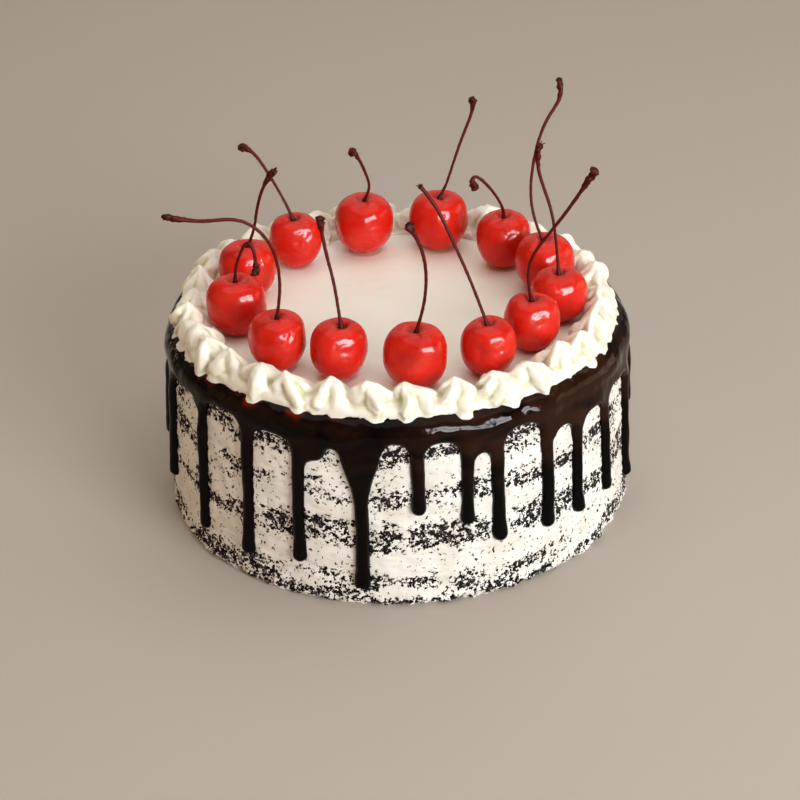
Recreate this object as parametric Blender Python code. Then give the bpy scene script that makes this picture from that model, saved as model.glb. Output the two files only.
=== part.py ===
"""A black forest cake with a chocolate drip rim, a piped ring of cream and stemmed cherries.

The origin is the centre of the base, +Z is up and -Y is the front. Every piece is a closed
solid with its own material: the sponge and cream layers run through the whole cake, the
ganache is one rim band with its drips, the piping is one ring of dollops, and each cherry
and each stem stands on its own.
"""

import math
import random
from typing import NamedTuple

import bmesh
import bpy
from mathutils import Vector

MM = 0.001
TOUCH_GAP = 0.3 * MM  # left between two pieces that touch

# The body of the cake: a slightly tapered cylinder whose top edge is cut back.
BASE_RADIUS = 75.0 * MM
TOP_RADIUS = 71.5 * MM
CAKE_HEIGHT = 60.0 * MM
TOP_EDGE_CUT = 2.0 * MM
CAKE_SEGMENTS = 48

# The layers from the plate up, each with its height. The last is the cream on top.
LAYERS = (
    ("sponge_1", 11.0 * MM),
    ("filling_1", 8.5 * MM),
    ("sponge_2", 8.5 * MM),
    ("filling_2", 6.0 * MM),
    ("sponge_3", 8.0 * MM),
    ("filling_3", 8.0 * MM),
    ("sponge_4", 7.5 * MM),
    ("top_cream", 2.5 * MM),
)

# The ganache: a flange on the top, a rounded shoulder and drips down the wall.
GANACHE_THICKNESS = 1.8 * MM
GANACHE_INNER_RADIUS = 60.0 * MM
GANACHE_EDGE_THICKNESS = 0.6 * MM
GANACHE_SIDE_SHARE = 0.55  # thickness at the side of a drip, as a share of the full one
GANACHE_END_ROUNDING = 1.2 * MM  # height over which the lower edge thins out
SHOULDER_ROOM = 0.4 * MM  # left between that edge and the shoulder
SHOULDER_END_DEGREES = 15  # how far round the shoulder's outer arc stops, above level
DRIP_PLACES = (-1.0, -0.6, 0.6, 1.0)  # across a drip, as shares of its half width
ARCH_PLACES = (0.0, 0.2, 0.8, 1.0)  # along the arch between two drips
ARCH_RISE = 9.0 * MM  # height of the round arch between two drips
ARCH_SIDE_STEP = 0.4 * MM  # from a drip's side to the foot of the arch beside it
FUNNEL_SLOPE = 2.2  # how steeply a wide root narrows into its drip
BACK_DRIP_COUNT = 14
BACK_DRIP_SEED = 11

# The ring of piped dollops.
DOLLOP_COUNT = 34
DOLLOP_PLACES = (0.0, 1.0, 1.0)  # from the dip to the next dip: 1 is the full dollop
PIPING_INNER_RADIUS = 57.0 * MM
PIPING_RIDGE_RADIUS = 63.2 * MM
PIPING_OUTER_RADIUS = 69.6 * MM
DOLLOP_HEIGHT = 9.5 * MM
DIP_SHARE = 0.62  # height of the dip between two dollops, as a share of a dollop's height
LOBE_REACH = 1.2 * MM  # how far a dollop's foot stands out past the dip beside it
FOOT_TUCK = 0.8 * MM  # how far the foot's lower edge is drawn in
FOOT_HEIGHT = 0.2  # height of the widest place, as a share of the dollop's
SHOULDER_HEIGHT = 0.62
SHOULDER_SHARE = 0.55  # how far the shoulder lies from the ridge to the outer foot
INNER_SLOPE = 2.2 * MM
INNER_HEIGHT = 0.6

# The cherries and their stems.
CHERRY_SEGMENTS = 12
CHERRY_RINGS = 7
CHERRY_FULLNESS = 0.8  # 1 is a ball, and less is squarer
DIMPLE_DEPTH = 2.4 * MM
STEM_LIFT = 1.0 * MM  # from the bottom of the dimple to the end of the stem
STEM_RADIUS = 0.6 * MM
STEM_FLARE = 1.7  # the stem's foot, as a share of its radius
STEM_KNOB = 2.3  # the swollen end, as a share of its radius


class Drip(NamedTuple):
    """One drip: its place round the cake, its length below the top, its width, and the
    depth of the arch between it and the next drip."""

    angle: float
    length: float
    width: float
    arch_depth: float
    funnel: float = 0.0  # how much wider its root is on each side


class Cherry(NamedTuple):
    """One cherry: its place on the top, its size, and the route of its stem from the
    dimple to the tip."""

    angle: float
    ring_radius: float
    width: float
    height: float
    stem: tuple


def drip(degrees, length, width, arch_depth, funnel=0.0):
    return Drip(math.radians(degrees), length * MM, width * MM, arch_depth * MM, funnel * MM)


def cherry(degrees, ring_radius, width, height, *stem):
    route = tuple(Vector(point) * MM for point in stem)
    return Cherry(math.radians(degrees), ring_radius * MM, width * MM, height * MM, route)


# Degrees run anticlockwise from +X, so 270 is the front; the other sizes are in mm.
FRONT_DRIPS = (
    drip(196, 46.0, 4.2, 7.5),
    drip(216, 51.0, 4.0, 5.5),
    drip(232, 50.5, 4.4, 7.0),
    drip(246, 47.5, 4.2, 6.5),
    drip(261, 54.5, 4.6, 5.5, funnel=4.4),
    drip(274, 29.0, 4.4, 6.5),
    drip(285.5, 34.0, 4.2, 11.5),
    drip(293, 41.5, 4.6, 6.0),
    drip(306.5, 43.0, 4.5, 11.5),
    drip(316.5, 43.5, 4.2, 12.0),
    drip(329, 44.0, 4.2, 11.0),
    drip(345, 51.0, 4.0, 9.0),
    drip(356, 32.0, 4.0, 8.0),
)

CHERRIES = (
    cherry(224.5, 49.6, 18.4, 17.5, (0, 0, 0), (2, -1, 13), (0, -2, 26), (-8, -3.5, 34.5),
           (-19, -5, 33.8), (-30, -6, 37)),
    cherry(247.5, 44.6, 17.6, 17.5, (0, 0, 0), (-0.5, 2.4, 13.8), (-2.8, 4.1, 23.2),
           (-3.3, 6, 33.6)),
    cherry(276.5, 47.5, 19.6, 18.5, (0, 0, 0), (2.6, -1, 9.7), (3.4, -2, 20), (2, -3, 29),
           (-1.8, -4, 36.8)),
    cherry(303.0, 49.2, 17.2, 17.0, (0, 0, 0), (-5, 2.5, 13.9), (-9.5, 4.4, 24.5),
           (-14.5, 6.5, 35.5), (-19.5, 8, 42)),
    cherry(326.5, 48.7, 17.0, 17.5, (0, 0, 0), (-1.6, -1, 9.5), (0, -2, 17), (4.5, -3, 24),
           (10.5, -4.3, 33.3), (17, -6, 45)),
    cherry(350.5, 51.0, 17.7, 17.0, (0, 0, 0), (-0.8, 1.4, 9.9), (-2.5, 3, 21.5),
           (-6.8, 4.8, 33.6), (-6.3, 6, 41.5)),
    cherry(16.5, 49.9, 20.0, 18.0, (0, 0, 0), (-3.2, 1.5, 7.5), (-4.7, 4, 19), (-1, 8, 36),
           (5, 10.5, 44.5), (4.2, 12, 51)),
    cherry(42.0, 48.4, 18.8, 18.5, (0, 0, 0), (-0.5, -0.8, 5), (-4.5, -2.2, 12),
           (-9, -3.1, 16.8), (-10.6, -3.5, 15.5), (-9.5, -4, 12)),
    cherry(72.5, 50.0, 20.2, 19.5, (0, 0, 0), (2.6, 0.9, 5), (4, 1.6, 9), (8, 3.5, 20.5),
           (11.6, 5.2, 29), (11.6, 6, 34)),
    cherry(102.5, 47.6, 20.8, 19.5, (0, 0, 0), (2.2, -1.2, 5.3), (1.8, -2.2, 10),
           (-1.3, -4.2, 18.6), (-4, -5, 21)),
    cherry(132.0, 49.3, 17.4, 17.5, (0, 0, 0), (-3, 1.5, 7), (-7.5, 3.2, 15.5),
           (-12.5, 5, 23), (-17.3, 6, 25)),
    cherry(162.5, 49.6, 19.0, 18.0, (0, 0, 0), (3, -1.2, 7.7), (4.2, -2.3, 14.5),
           (6.8, -3.7, 23), (11, -5, 29.3)),
    cherry(193.0, 50.4, 18.8, 18.5, (0, 0, 0), (0.6, -0.6, 6), (3, -1.3, 12.3),
           (5.3, -1.6, 14.8), (6.9, -2.2, 10.5), (6.6, -3, 4)),
)


def clear_scene():
    for obj in list(bpy.data.objects):
        bpy.data.objects.remove(obj, do_unlink=True)


def make_material(name, colour, roughness):
    material = bpy.data.materials.new(name)
    material.use_nodes = True
    shader = material.node_tree.nodes["Principled BSDF"]
    shader.inputs["Base Color"].default_value = (*colour, 1.0)
    shader.inputs["Roughness"].default_value = roughness
    material.diffuse_color = (*colour, 1.0)
    return material


def add_solid(name, bm, material):
    """Turns a bmesh into a named object with smooth sides and sharp edges."""
    bmesh.ops.recalc_face_normals(bm, faces=bm.faces)
    mesh = bpy.data.meshes.new(name)
    bm.to_mesh(mesh)
    bm.free()
    mesh.materials.append(material)
    mesh.shade_smooth()
    mesh.set_sharp_from_angle(angle=math.radians(40))
    obj = bpy.data.objects.new(name, mesh)
    bpy.context.scene.collection.objects.link(obj)
    return obj


def wall_radius(z):
    """Radius of the cake's wall at height z."""
    return BASE_RADIUS + (TOP_RADIUS - BASE_RADIUS) * z / CAKE_HEIGHT


def at(angle, radius, z):
    return Vector((radius * math.cos(angle), radius * math.sin(angle), z))


def arc(centre_radius, centre_z, radius, start, end, steps):
    """Points (radius, z) on an arc in the cake's section, its angles in degrees."""
    turns = [math.radians(start + (end - start) * i / steps) for i in range(steps + 1)]
    return [(centre_radius + radius * math.cos(t), centre_z + radius * math.sin(t)) for t in turns]


def turned_solid(profile, segments, centre=Vector((0, 0, 0))):
    """A solid of revolution. The profile runs from the axis at the bottom to the axis at
    the top, as (radius, z)."""
    bm = bmesh.new()
    foot = bm.verts.new(centre + Vector((0, 0, profile[0][1])))
    head = bm.verts.new(centre + Vector((0, 0, profile[-1][1])))
    rings = []
    for radius, z in profile[1:-1]:
        turns = (2 * math.pi * i / segments for i in range(segments))
        rings.append([bm.verts.new(centre + at(turn, radius, z)) for turn in turns])
    for i in range(segments):
        j = (i + 1) % segments
        bm.faces.new((foot, rings[0][j], rings[0][i]))
        bm.faces.new((head, rings[-1][i], rings[-1][j]))
        for low, high in zip(rings, rings[1:]):
            bm.faces.new((low[i], low[j], high[j], high[i]))
    return bm


def ring_solid(sections):
    """A closed ring through sections that all hold the same number of points."""
    bm = bmesh.new()
    loops = [[bm.verts.new(point) for point in section] for section in sections]
    for here, after in zip(loops, loops[1:] + loops[:1]):
        for i in range(len(here)):
            j = (i + 1) % len(here)
            bm.faces.new((here[i], here[j], after[j], after[i]))
    return bm


def build_layers(sponge, cream):
    """The discs of sponge and cream, one on the other, with a gap between two."""
    z = 0.0
    for name, height in LAYERS:
        low = z if z == 0.0 else z + TOUCH_GAP
        z += height
        profile = [(0, low), (wall_radius(low), low)]
        if name == "top_cream":
            edge = wall_radius(z - TOP_EDGE_CUT)
            profile += [(edge, z - TOP_EDGE_CUT), (edge - TOP_EDGE_CUT, z)]
        else:
            profile.append((wall_radius(z), z))
        profile.append((0, z))
        material = sponge if name.startswith("sponge") else cream
        add_solid(name, turned_solid(profile, CAKE_SEGMENTS), material)


def all_drips():
    """The drips at the front, and more of the same kind round the back, in order."""
    rng = random.Random(BACK_DRIP_SEED)
    start = FRONT_DRIPS[-1].angle
    room = FRONT_DRIPS[0].angle + 2 * math.pi - start
    pitch = room / (BACK_DRIP_COUNT + 1)
    back = []
    for i in range(BACK_DRIP_COUNT):
        back.append(
            Drip(
                angle=start + pitch * (i + 1 + rng.uniform(-0.14, 0.14)),
                length=rng.uniform(28, 53) * MM,
                width=rng.uniform(3.9, 4.6) * MM,
                arch_depth=rng.uniform(5.5, 11.5) * MM,
            )
        )
    return list(FRONT_DRIPS) + back


def ganache_columns(drips):
    """(angle, depth of the lower edge below the top, thickness) for each column."""
    columns = []
    for here, after in zip(drips, drips[1:] + drips[:1]):
        half = here.width / 2
        for share in DRIP_PLACES:
            crown = math.sqrt(1 - share**2)
            round_end = half * (1 - crown)
            thickness = GANACHE_THICKNESS * (GANACHE_SIDE_SHARE + (1 - GANACHE_SIDE_SHARE) * crown)
            angle = here.angle + share * half / BASE_RADIUS
            columns.append((angle, here.length - round_end, thickness))
        span = (after.angle - here.angle) % (2 * math.pi)
        foot = here.angle + (half + ARCH_SIDE_STEP) / BASE_RADIUS
        head = here.angle + span - (after.width / 2 + ARCH_SIDE_STEP) / BASE_RADIUS
        rise = min(ARCH_RISE, 0.5 * (head - foot) * BASE_RADIUS)
        for share in ARCH_PLACES:
            angle = foot + share * (head - foot)
            depth = here.arch_depth + rise * (1 - math.sqrt(1 - (2 * share - 1) ** 2))
            depth += FUNNEL_SLOPE * max(0.0, here.funnel - (angle - foot) * BASE_RADIUS)
            depth += FUNNEL_SLOPE * max(0.0, after.funnel - (head - angle) * BASE_RADIUS)
            thickness = GANACHE_THICKNESS * (GANACHE_SIDE_SHARE if share in (0.0, 1.0) else 1.0)
            columns.append((angle, depth, thickness))
    return columns


def build_ganache(material):
    """The rim band and its drips, as one ring whose lower edge follows the drips."""
    corner_z = CAKE_HEIGHT - TOP_EDGE_CUT
    corner_radius = wall_radius(corner_z) - TOP_EDGE_CUT
    inner_round = TOP_EDGE_CUT + TOUCH_GAP
    full = inner_round + GANACHE_THICKNESS
    sections = []
    for angle, depth, thickness in ganache_columns(all_drips()):
        z_end = CAKE_HEIGHT - depth
        outer = [(GANACHE_INNER_RADIUS, CAKE_HEIGHT + TOUCH_GAP + GANACHE_THICKNESS)]
        outer += arc(corner_radius, corner_z, full, 90, SHOULDER_END_DEGREES, 2)
        near_end = min(z_end + GANACHE_END_ROUNDING, corner_z - SHOULDER_ROOM)
        outer.append((wall_radius(near_end) + TOUCH_GAP + thickness, near_end))
        outer.append((wall_radius(z_end) + TOUCH_GAP + GANACHE_EDGE_THICKNESS, z_end))
        inner = [(wall_radius(z_end) + TOUCH_GAP, z_end)]
        inner += arc(corner_radius, corner_z, inner_round, 0, 90, 1)
        inner.append((GANACHE_INNER_RADIUS, CAKE_HEIGHT + TOUCH_GAP))
        sections.append([at(angle, radius, z) for radius, z in outer + inner])
    add_solid("ganache", ring_solid(sections), material)


def build_piping(material):
    """The ring of dollops: each is a rounded lobe, with a dip and a fold to the next."""
    flange_top = CAKE_HEIGHT + GANACHE_THICKNESS + 2 * TOUCH_GAP
    cream_top = CAKE_HEIGHT + TOUCH_GAP
    step_radius = GANACHE_INNER_RADIUS - TOUCH_GAP
    count = DOLLOP_COUNT * len(DOLLOP_PLACES)
    sections = []
    for i in range(count):
        share = DOLLOP_PLACES[i % len(DOLLOP_PLACES)]
        angle = 2 * math.pi * i / count
        height = DOLLOP_HEIGHT * (DIP_SHARE + (1 - DIP_SHARE) * share)
        reach = LOBE_REACH * (math.sqrt(share) - 1)
        outer = PIPING_OUTER_RADIUS + reach
        inner = PIPING_INNER_RADIUS - reach / 2
        shoulder = PIPING_RIDGE_RADIUS + SHOULDER_SHARE * (outer - PIPING_RIDGE_RADIUS)
        profile = [
            (outer - FOOT_TUCK, flange_top),
            (outer, flange_top + FOOT_HEIGHT * height),
            (shoulder, flange_top + SHOULDER_HEIGHT * height),
            (PIPING_RIDGE_RADIUS, flange_top + height),
            (inner + INNER_SLOPE, cream_top + INNER_HEIGHT * height),
            (inner, cream_top),
            (step_radius, cream_top),
            (step_radius, flange_top),
        ]
        sections.append([at(angle, radius, z) for radius, z in profile])
    add_solid("piping_ring", ring_solid(sections), material)


def cherry_profile(width, height):
    """(radius, z) from the flat foot, over the shoulder, to the bottom of the dimple."""
    profile = [(0.0, 0.0)]
    for i in range(1, CHERRY_RINGS):
        turn = math.pi * (i / CHERRY_RINGS - 0.5)
        z = height * (0.5 + 0.5 * math.sin(turn) / math.sin(math.pi * (0.5 - 1 / CHERRY_RINGS)))
        profile.append((0.5 * width * math.cos(turn) ** CHERRY_FULLNESS, z))
    profile.append((0.0, height - DIMPLE_DEPTH))
    return profile


def build_stem(name, route, start, material):
    """A stem: a tapered tube that flares at the cherry and swells at its free end."""
    curve = bpy.data.curves.new(name, "CURVE")
    curve.dimensions = "3D"
    curve.bevel_depth = STEM_RADIUS
    curve.bevel_resolution = 1
    curve.resolution_u = 2
    curve.use_fill_caps = True
    spline = curve.splines.new("BEZIER")
    spline.bezier_points.add(len(route) - 1)
    radii = [STEM_FLARE] + [1.0] * (len(route) - 2) + [STEM_KNOB]
    for knot, point, radius in zip(spline.bezier_points, route, radii):
        knot.co = start + point
        knot.handle_left_type = knot.handle_right_type = "AUTO"
        knot.radius = radius
    curve.materials.append(material)
    obj = bpy.data.objects.new(name, curve)
    bpy.context.scene.collection.objects.link(obj)


def build_cherries(fruit, wood):
    for number, item in enumerate(CHERRIES, start=1):
        foot = at(item.angle, item.ring_radius, CAKE_HEIGHT + TOUCH_GAP)
        profile = cherry_profile(item.width, item.height)
        solid = turned_solid(profile, CHERRY_SEGMENTS, centre=foot)
        add_solid(f"cherry_{number:02d}", solid, fruit)
        start = foot + Vector((0, 0, item.height - DIMPLE_DEPTH + STEM_LIFT))
        build_stem(f"stem_{number:02d}", item.stem, start, wood)


def main():
    clear_scene()
    sponge = make_material("sponge", (0.035, 0.017, 0.012), 0.9)
    cream = make_material("cream", (0.86, 0.82, 0.74), 0.55)
    ganache = make_material("ganache", (0.022, 0.010, 0.007), 0.15)
    fruit = make_material("cherry", (0.72, 0.035, 0.02), 0.18)
    wood = make_material("stem", (0.11, 0.018, 0.012), 0.5)
    build_layers(sponge, cream)
    build_ganache(ganache)
    build_piping(cream)
    build_cherries(fruit, wood)


main()
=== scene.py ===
"""The looks of a black forest cake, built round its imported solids.

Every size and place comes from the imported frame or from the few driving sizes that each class
holds. Lengths are in metres, +Z is up, -Y is the front, and angles run anticlockwise from +X.
"""

import itertools
import logging
import math
import random
from dataclasses import dataclass, field
from enum import Enum

import bpy
import numpy as np
from mathutils import Matrix, Vector
from mathutils.kdtree import KDTree


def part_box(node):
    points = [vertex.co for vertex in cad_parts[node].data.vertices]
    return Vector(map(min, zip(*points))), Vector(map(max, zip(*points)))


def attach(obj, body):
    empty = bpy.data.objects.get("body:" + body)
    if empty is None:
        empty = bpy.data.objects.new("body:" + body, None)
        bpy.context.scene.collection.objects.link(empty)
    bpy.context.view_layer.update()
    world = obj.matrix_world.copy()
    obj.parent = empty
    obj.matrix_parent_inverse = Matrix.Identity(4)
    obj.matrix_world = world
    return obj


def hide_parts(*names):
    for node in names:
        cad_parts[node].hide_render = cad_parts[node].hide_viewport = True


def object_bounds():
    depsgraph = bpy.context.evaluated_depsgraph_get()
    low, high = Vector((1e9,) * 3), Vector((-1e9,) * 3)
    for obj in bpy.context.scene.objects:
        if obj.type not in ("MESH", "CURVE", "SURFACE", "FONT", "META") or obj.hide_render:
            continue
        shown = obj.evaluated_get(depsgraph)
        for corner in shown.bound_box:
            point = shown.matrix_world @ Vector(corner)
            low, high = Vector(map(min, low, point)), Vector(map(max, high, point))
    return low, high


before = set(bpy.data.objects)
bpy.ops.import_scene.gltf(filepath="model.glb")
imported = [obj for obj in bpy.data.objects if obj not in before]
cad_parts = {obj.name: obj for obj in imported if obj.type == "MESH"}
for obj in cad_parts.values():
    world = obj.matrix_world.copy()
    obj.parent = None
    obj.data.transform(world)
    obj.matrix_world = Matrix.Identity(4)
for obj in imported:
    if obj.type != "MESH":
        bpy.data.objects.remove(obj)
CAD_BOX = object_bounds()

LOG = logging.getLogger("black_forest_cake")
MM = 0.001
TURN = 2 * math.pi
BODY = "root"

Array = np.ndarray
Colour = tuple[float, float, float]


# ---------------------------------------------------------------- meshes


@dataclass
class Skin:
    """The points and triangles of one mesh, with named values for each point. Its normals may
    be given, and are then 0 where the mesh's own is right."""

    points: Array
    triangles: Array
    values: dict[str, Array] = field(default_factory=dict)
    normals: Array | None = None

    def piece(self, name: str, material: bpy.types.Material, smooth: bool = True) -> bpy.types.Object:
        """Makes the skin an object in the scene.

        Args:
            name: The object's name.
            material: Its finish.
            smooth: Whether its faces are shaded smooth.

        Returns:
            The new object.
        """
        mesh = bpy.data.meshes.new(name)
        mesh.vertices.add(len(self.points))
        mesh.loops.add(3 * len(self.triangles))
        mesh.polygons.add(len(self.triangles))
        mesh.vertices.foreach_set("co", np.asarray(self.points, np.float32).ravel())
        mesh.loops.foreach_set("vertex_index", np.asarray(self.triangles, np.int32).ravel())
        mesh.polygons.foreach_set("loop_start", np.arange(len(self.triangles), dtype=np.int32) * 3)
        mesh.update(calc_edges=True)
        for key, value in self.values.items():
            layer = mesh.attributes.new(key, "FLOAT", "POINT")
            layer.data.foreach_set("value", np.asarray(value, np.float32))
        mesh.materials.append(material)
        mesh.polygons.foreach_set("use_smooth", np.full(len(mesh.polygons), smooth))
        mesh.update()
        if self.normals is not None:
            mesh.normals_split_custom_set_from_vertices(self.normals.tolist())
        obj = bpy.data.objects.new(name, mesh)
        bpy.context.scene.collection.objects.link(obj)
        return obj


def joined(skins: list[Skin]) -> Skin:
    """Lays several skins into one.

    Args:
        skins: Skins that all hold values of the same names.

    Returns:
        One skin with all their points and triangles.
    """
    starts = np.cumsum([0] + [len(skin.points) for skin in skins[:-1]])
    triangles = [skin.triangles + start for skin, start in zip(skins, starts)]
    values = {key: np.concatenate([skin.values[key] for skin in skins]) for key in skins[0].values}
    return Skin(np.concatenate([skin.points for skin in skins]), np.concatenate(triangles), values)


def lattice(rows: int, columns: int) -> Array:
    """Triangles over rows of points, each row closed into a ring.

    Args:
        rows: How many rows, from the lowest up.
        columns: How many points in a row, anticlockwise seen from above.

    Returns:
        The triangles, facing out.
    """
    row, column = np.meshgrid(np.arange(rows - 1), np.arange(columns), indexing="ij")
    low = row * columns + column
    low_next = row * columns + (column + 1) % columns
    high, high_next = low + columns, low_next + columns
    halves = ((low, low_next, high_next), (low, high_next, high))
    return np.concatenate([np.stack(half, -1).reshape(-1, 3) for half in halves])


def wrapped(triangles: Array, rows: int, columns: int) -> Array:
    """Adds the triangles that close a lattice's last row onto its first, as on a ring."""
    last = lattice(2, columns)
    last = np.where(last < columns, last + (rows - 1) * columns, last - columns)
    return np.concatenate([triangles, last])


def closed_skin(rings: Array, values: dict[str, Array] | None = None) -> Skin:
    """A closed skin through rings of points, with a point in the middle of each end.

    Args:
        rings: Points, shaped (rows, columns, 3), from the lowest row up.
        values: Named values, shaped (rows, columns).

    Returns:
        The skin, facing out.
    """
    rows, columns = rings.shape[:2]
    points = np.concatenate([rings.reshape(-1, 3), rings[:1].mean(1), rings[-1:].mean(1)])
    here = np.arange(columns)
    after = np.roll(here, -1)
    foot = np.full(columns, rows * columns)
    last = (rows - 1) * columns
    ends = [np.stack([foot, after, here], -1), np.stack([foot + 1, last + here, last + after], -1)]
    kept = {}
    for key, value in (values or {}).items():
        kept[key] = np.concatenate([value.ravel(), value[:1].mean(1), value[-1:].mean(1)])
    return Skin(points, np.concatenate([lattice(rows, columns), *ends]), kept)


def hollows(points: Array, triangles: Array, rounds: int) -> Array:
    """How deep each point lies in a hollow of a mesh, against the same mesh smoothed.

    Args:
        points: The mesh's points.
        triangles: Its triangles.
        rounds: How often it is smoothed.

    Returns:
        Depths, below 0 on ridges.
    """
    ends = np.concatenate([triangles[:, [0, 1]], triangles[:, [1, 2]], triangles[:, [2, 0]]])
    count = np.maximum(np.bincount(ends[:, 0], minlength=len(points)), 1)[:, None]
    soft = points
    for _ in range(rounds):
        sums = [np.bincount(ends[:, 0], soft[ends[:, 1], axis], len(points)) for axis in range(3)]
        soft = 0.5 * soft + 0.5 * np.stack(sums, -1) / count
    a, b, c = (points[triangles[:, corner]] for corner in range(3))
    face = np.cross(b - a, c - a)
    normal = np.zeros_like(points)
    for corner in range(3):
        np.add.at(normal, triangles[:, corner], face)
    normal /= np.maximum(np.linalg.norm(normal, axis=1, keepdims=True), 1e-30)
    return np.sum((soft - points) * normal, axis=1)


def polar(angle: Array, radius: Array, z: Array) -> Array:
    """Points from an angle, a radius and a height, which may be arrays that broadcast."""
    angle, radius, z = np.broadcast_arrays(angle, radius, z)
    return np.stack([radius * np.cos(angle), radius * np.sin(angle), z], -1)


def smooth_step(value: Array, low: float, high: float) -> Array:
    """0 below low, 1 above high, and a smooth rise between."""
    share = np.clip((value - low) / (high - low), 0, 1)
    return share * share * (3 - 2 * share)


class Noise:
    """Smooth seeded noise in space."""

    def __init__(self, seed: int) -> None:
        """Draws the noise's own slopes.

        Args:
            seed: What makes one noise differ from another.
        """
        rng = np.random.default_rng(seed)
        self.order = rng.permutation(256)
        slopes = rng.normal(size=(256, 3))
        self.slopes = slopes / np.linalg.norm(slopes, axis=1, keepdims=True)

    def at(self, points: Array, size: float | tuple[float, float, float]) -> Array:
        """The noise at some points.

        Args:
            points: Points, shaped (..., 3).
            size: How large its lumps are, in metres, the same or one for each axis.

        Returns:
            Values from about -1 to 1.
        """
        cell = np.asarray(points) / np.asarray(size)
        low = np.floor(cell).astype(int)
        part = cell - low
        ease = part**3 * (part * (part * 6 - 15) + 10)
        total = np.zeros(cell.shape[:-1])
        for corner in itertools.product((0, 1), repeat=3):
            place = (low + corner) & 255
            key = self.order[(self.order[(self.order[place[..., 0]] + place[..., 1]) & 255] + place[..., 2]) & 255]
            weight = np.prod(np.where(corner, ease, 1 - ease), axis=-1)
            total += weight * np.sum(self.slopes[key] * (part - corner), axis=-1)
        return total * 1.6


# ---------------------------------------------------------------- finishes


class Graph:
    """A material's node tree, with short calls that add and join its nodes."""

    def __init__(self, name: str) -> None:
        """Starts a material with its Principled shader.

        Args:
            name: The material's name.
        """
        self.material = bpy.data.materials.new(name)
        self.material.use_nodes = True
        self.nodes = self.material.node_tree.nodes
        self.shader = self.nodes["Principled BSDF"]
        self.place = self.nodes.new("ShaderNodeTexCoord").outputs["Object"]

    def feed(self, socket: bpy.types.NodeSocket, value: object) -> None:
        """Joins a socket to another socket, or sets its value."""
        if isinstance(value, bpy.types.NodeSocket):
            self.material.node_tree.links.new(value, socket)
        elif isinstance(value, tuple) and len(value) == 3 and socket.type == "RGBA":
            socket.default_value = (*value, 1.0)
        else:
            socket.default_value = value

    def set(self, **values: object) -> None:
        """Sets the shader's sockets, named with _ for a space."""
        for name, value in values.items():
            self.feed(self.shader.inputs[name.replace("_", " ")], value)

    def add(self, kind: str, inputs: dict[str | int, object], **settings: object) -> bpy.types.Node:
        """Adds a node.

        Args:
            kind: The node's type.
            inputs: What goes into its sockets.
            **settings: The node's own properties.

        Returns:
            The node.
        """
        node = self.nodes.new(kind)
        for name, value in settings.items():
            setattr(node, name, value)
        for name, value in inputs.items():
            self.feed(node.inputs[name], value)
        return node

    def noise(self, size: float, detail: float = 2.0, rough: float = 0.5, stretch: Colour = (1, 1, 1)) -> object:
        """Noise with lumps of about a size.

        Args:
            size: The size of a lump in metres.
            detail: How many finer layers it has.
            rough: How strong they are.
            stretch: Its scale along each axis.

        Returns:
            The socket of its value, about 0.5 on average.
        """
        mapped = self.add("ShaderNodeMapping", {"Vector": self.place, "Scale": stretch})
        inputs = {"Vector": mapped.outputs[0], "Scale": 1 / size, "Detail": detail, "Roughness": rough}
        return self.add("ShaderNodeTexNoise", inputs).outputs["Fac"]

    def value(self, name: str) -> object:
        """The socket of a value that the mesh holds."""
        return self.add("ShaderNodeAttribute", {}, attribute_name=name).outputs["Fac"]

    def math(self, operation: str, first: object, second: object = 0.0) -> object:
        """The socket of a sum, product or other operation on two values."""
        return self.add("ShaderNodeMath", {0: first, 1: second}, operation=operation).outputs[0]

    def ramp(self, value: object, low: float, high: float, start: float = 0.0, end: float = 1.0) -> object:
        """A smooth change from start to end as a value goes from low to high.

        Args:
            value: The socket that drives it.
            low: Where the change begins.
            high: Where it ends.
            start: The result below low.
            end: The result above high.

        Returns:
            The result's socket.
        """
        inputs = {"Value": value, "From Min": low, "From Max": high, "To Min": start, "To Max": end}
        node = self.add("ShaderNodeMapRange", inputs, interpolation_type="SMOOTHSTEP")
        return node.outputs["Result"]

    def mix(self, share: object, first: object, second: object) -> object:
        """The socket of a colour between two others."""
        node = self.add("ShaderNodeMix", {0: share, 6: first, 7: second}, data_type="RGBA")
        return node.outputs[2]

    def bump(self, height: object, distance: float, strength: float = 1.0, under: object = None) -> object:
        """A bumped normal.

        Args:
            height: The socket of the height.
            distance: How far a height of 1 stands out, in metres.
            strength: How much of it shows.
            under: The socket of a normal that it adds to.

        Returns:
            The normal's socket.
        """
        inputs = {"Height": height, "Distance": distance, "Strength": strength}
        if under is not None:
            inputs["Normal"] = under
        return self.add("ShaderNodeBump", inputs).outputs[0]


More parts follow.
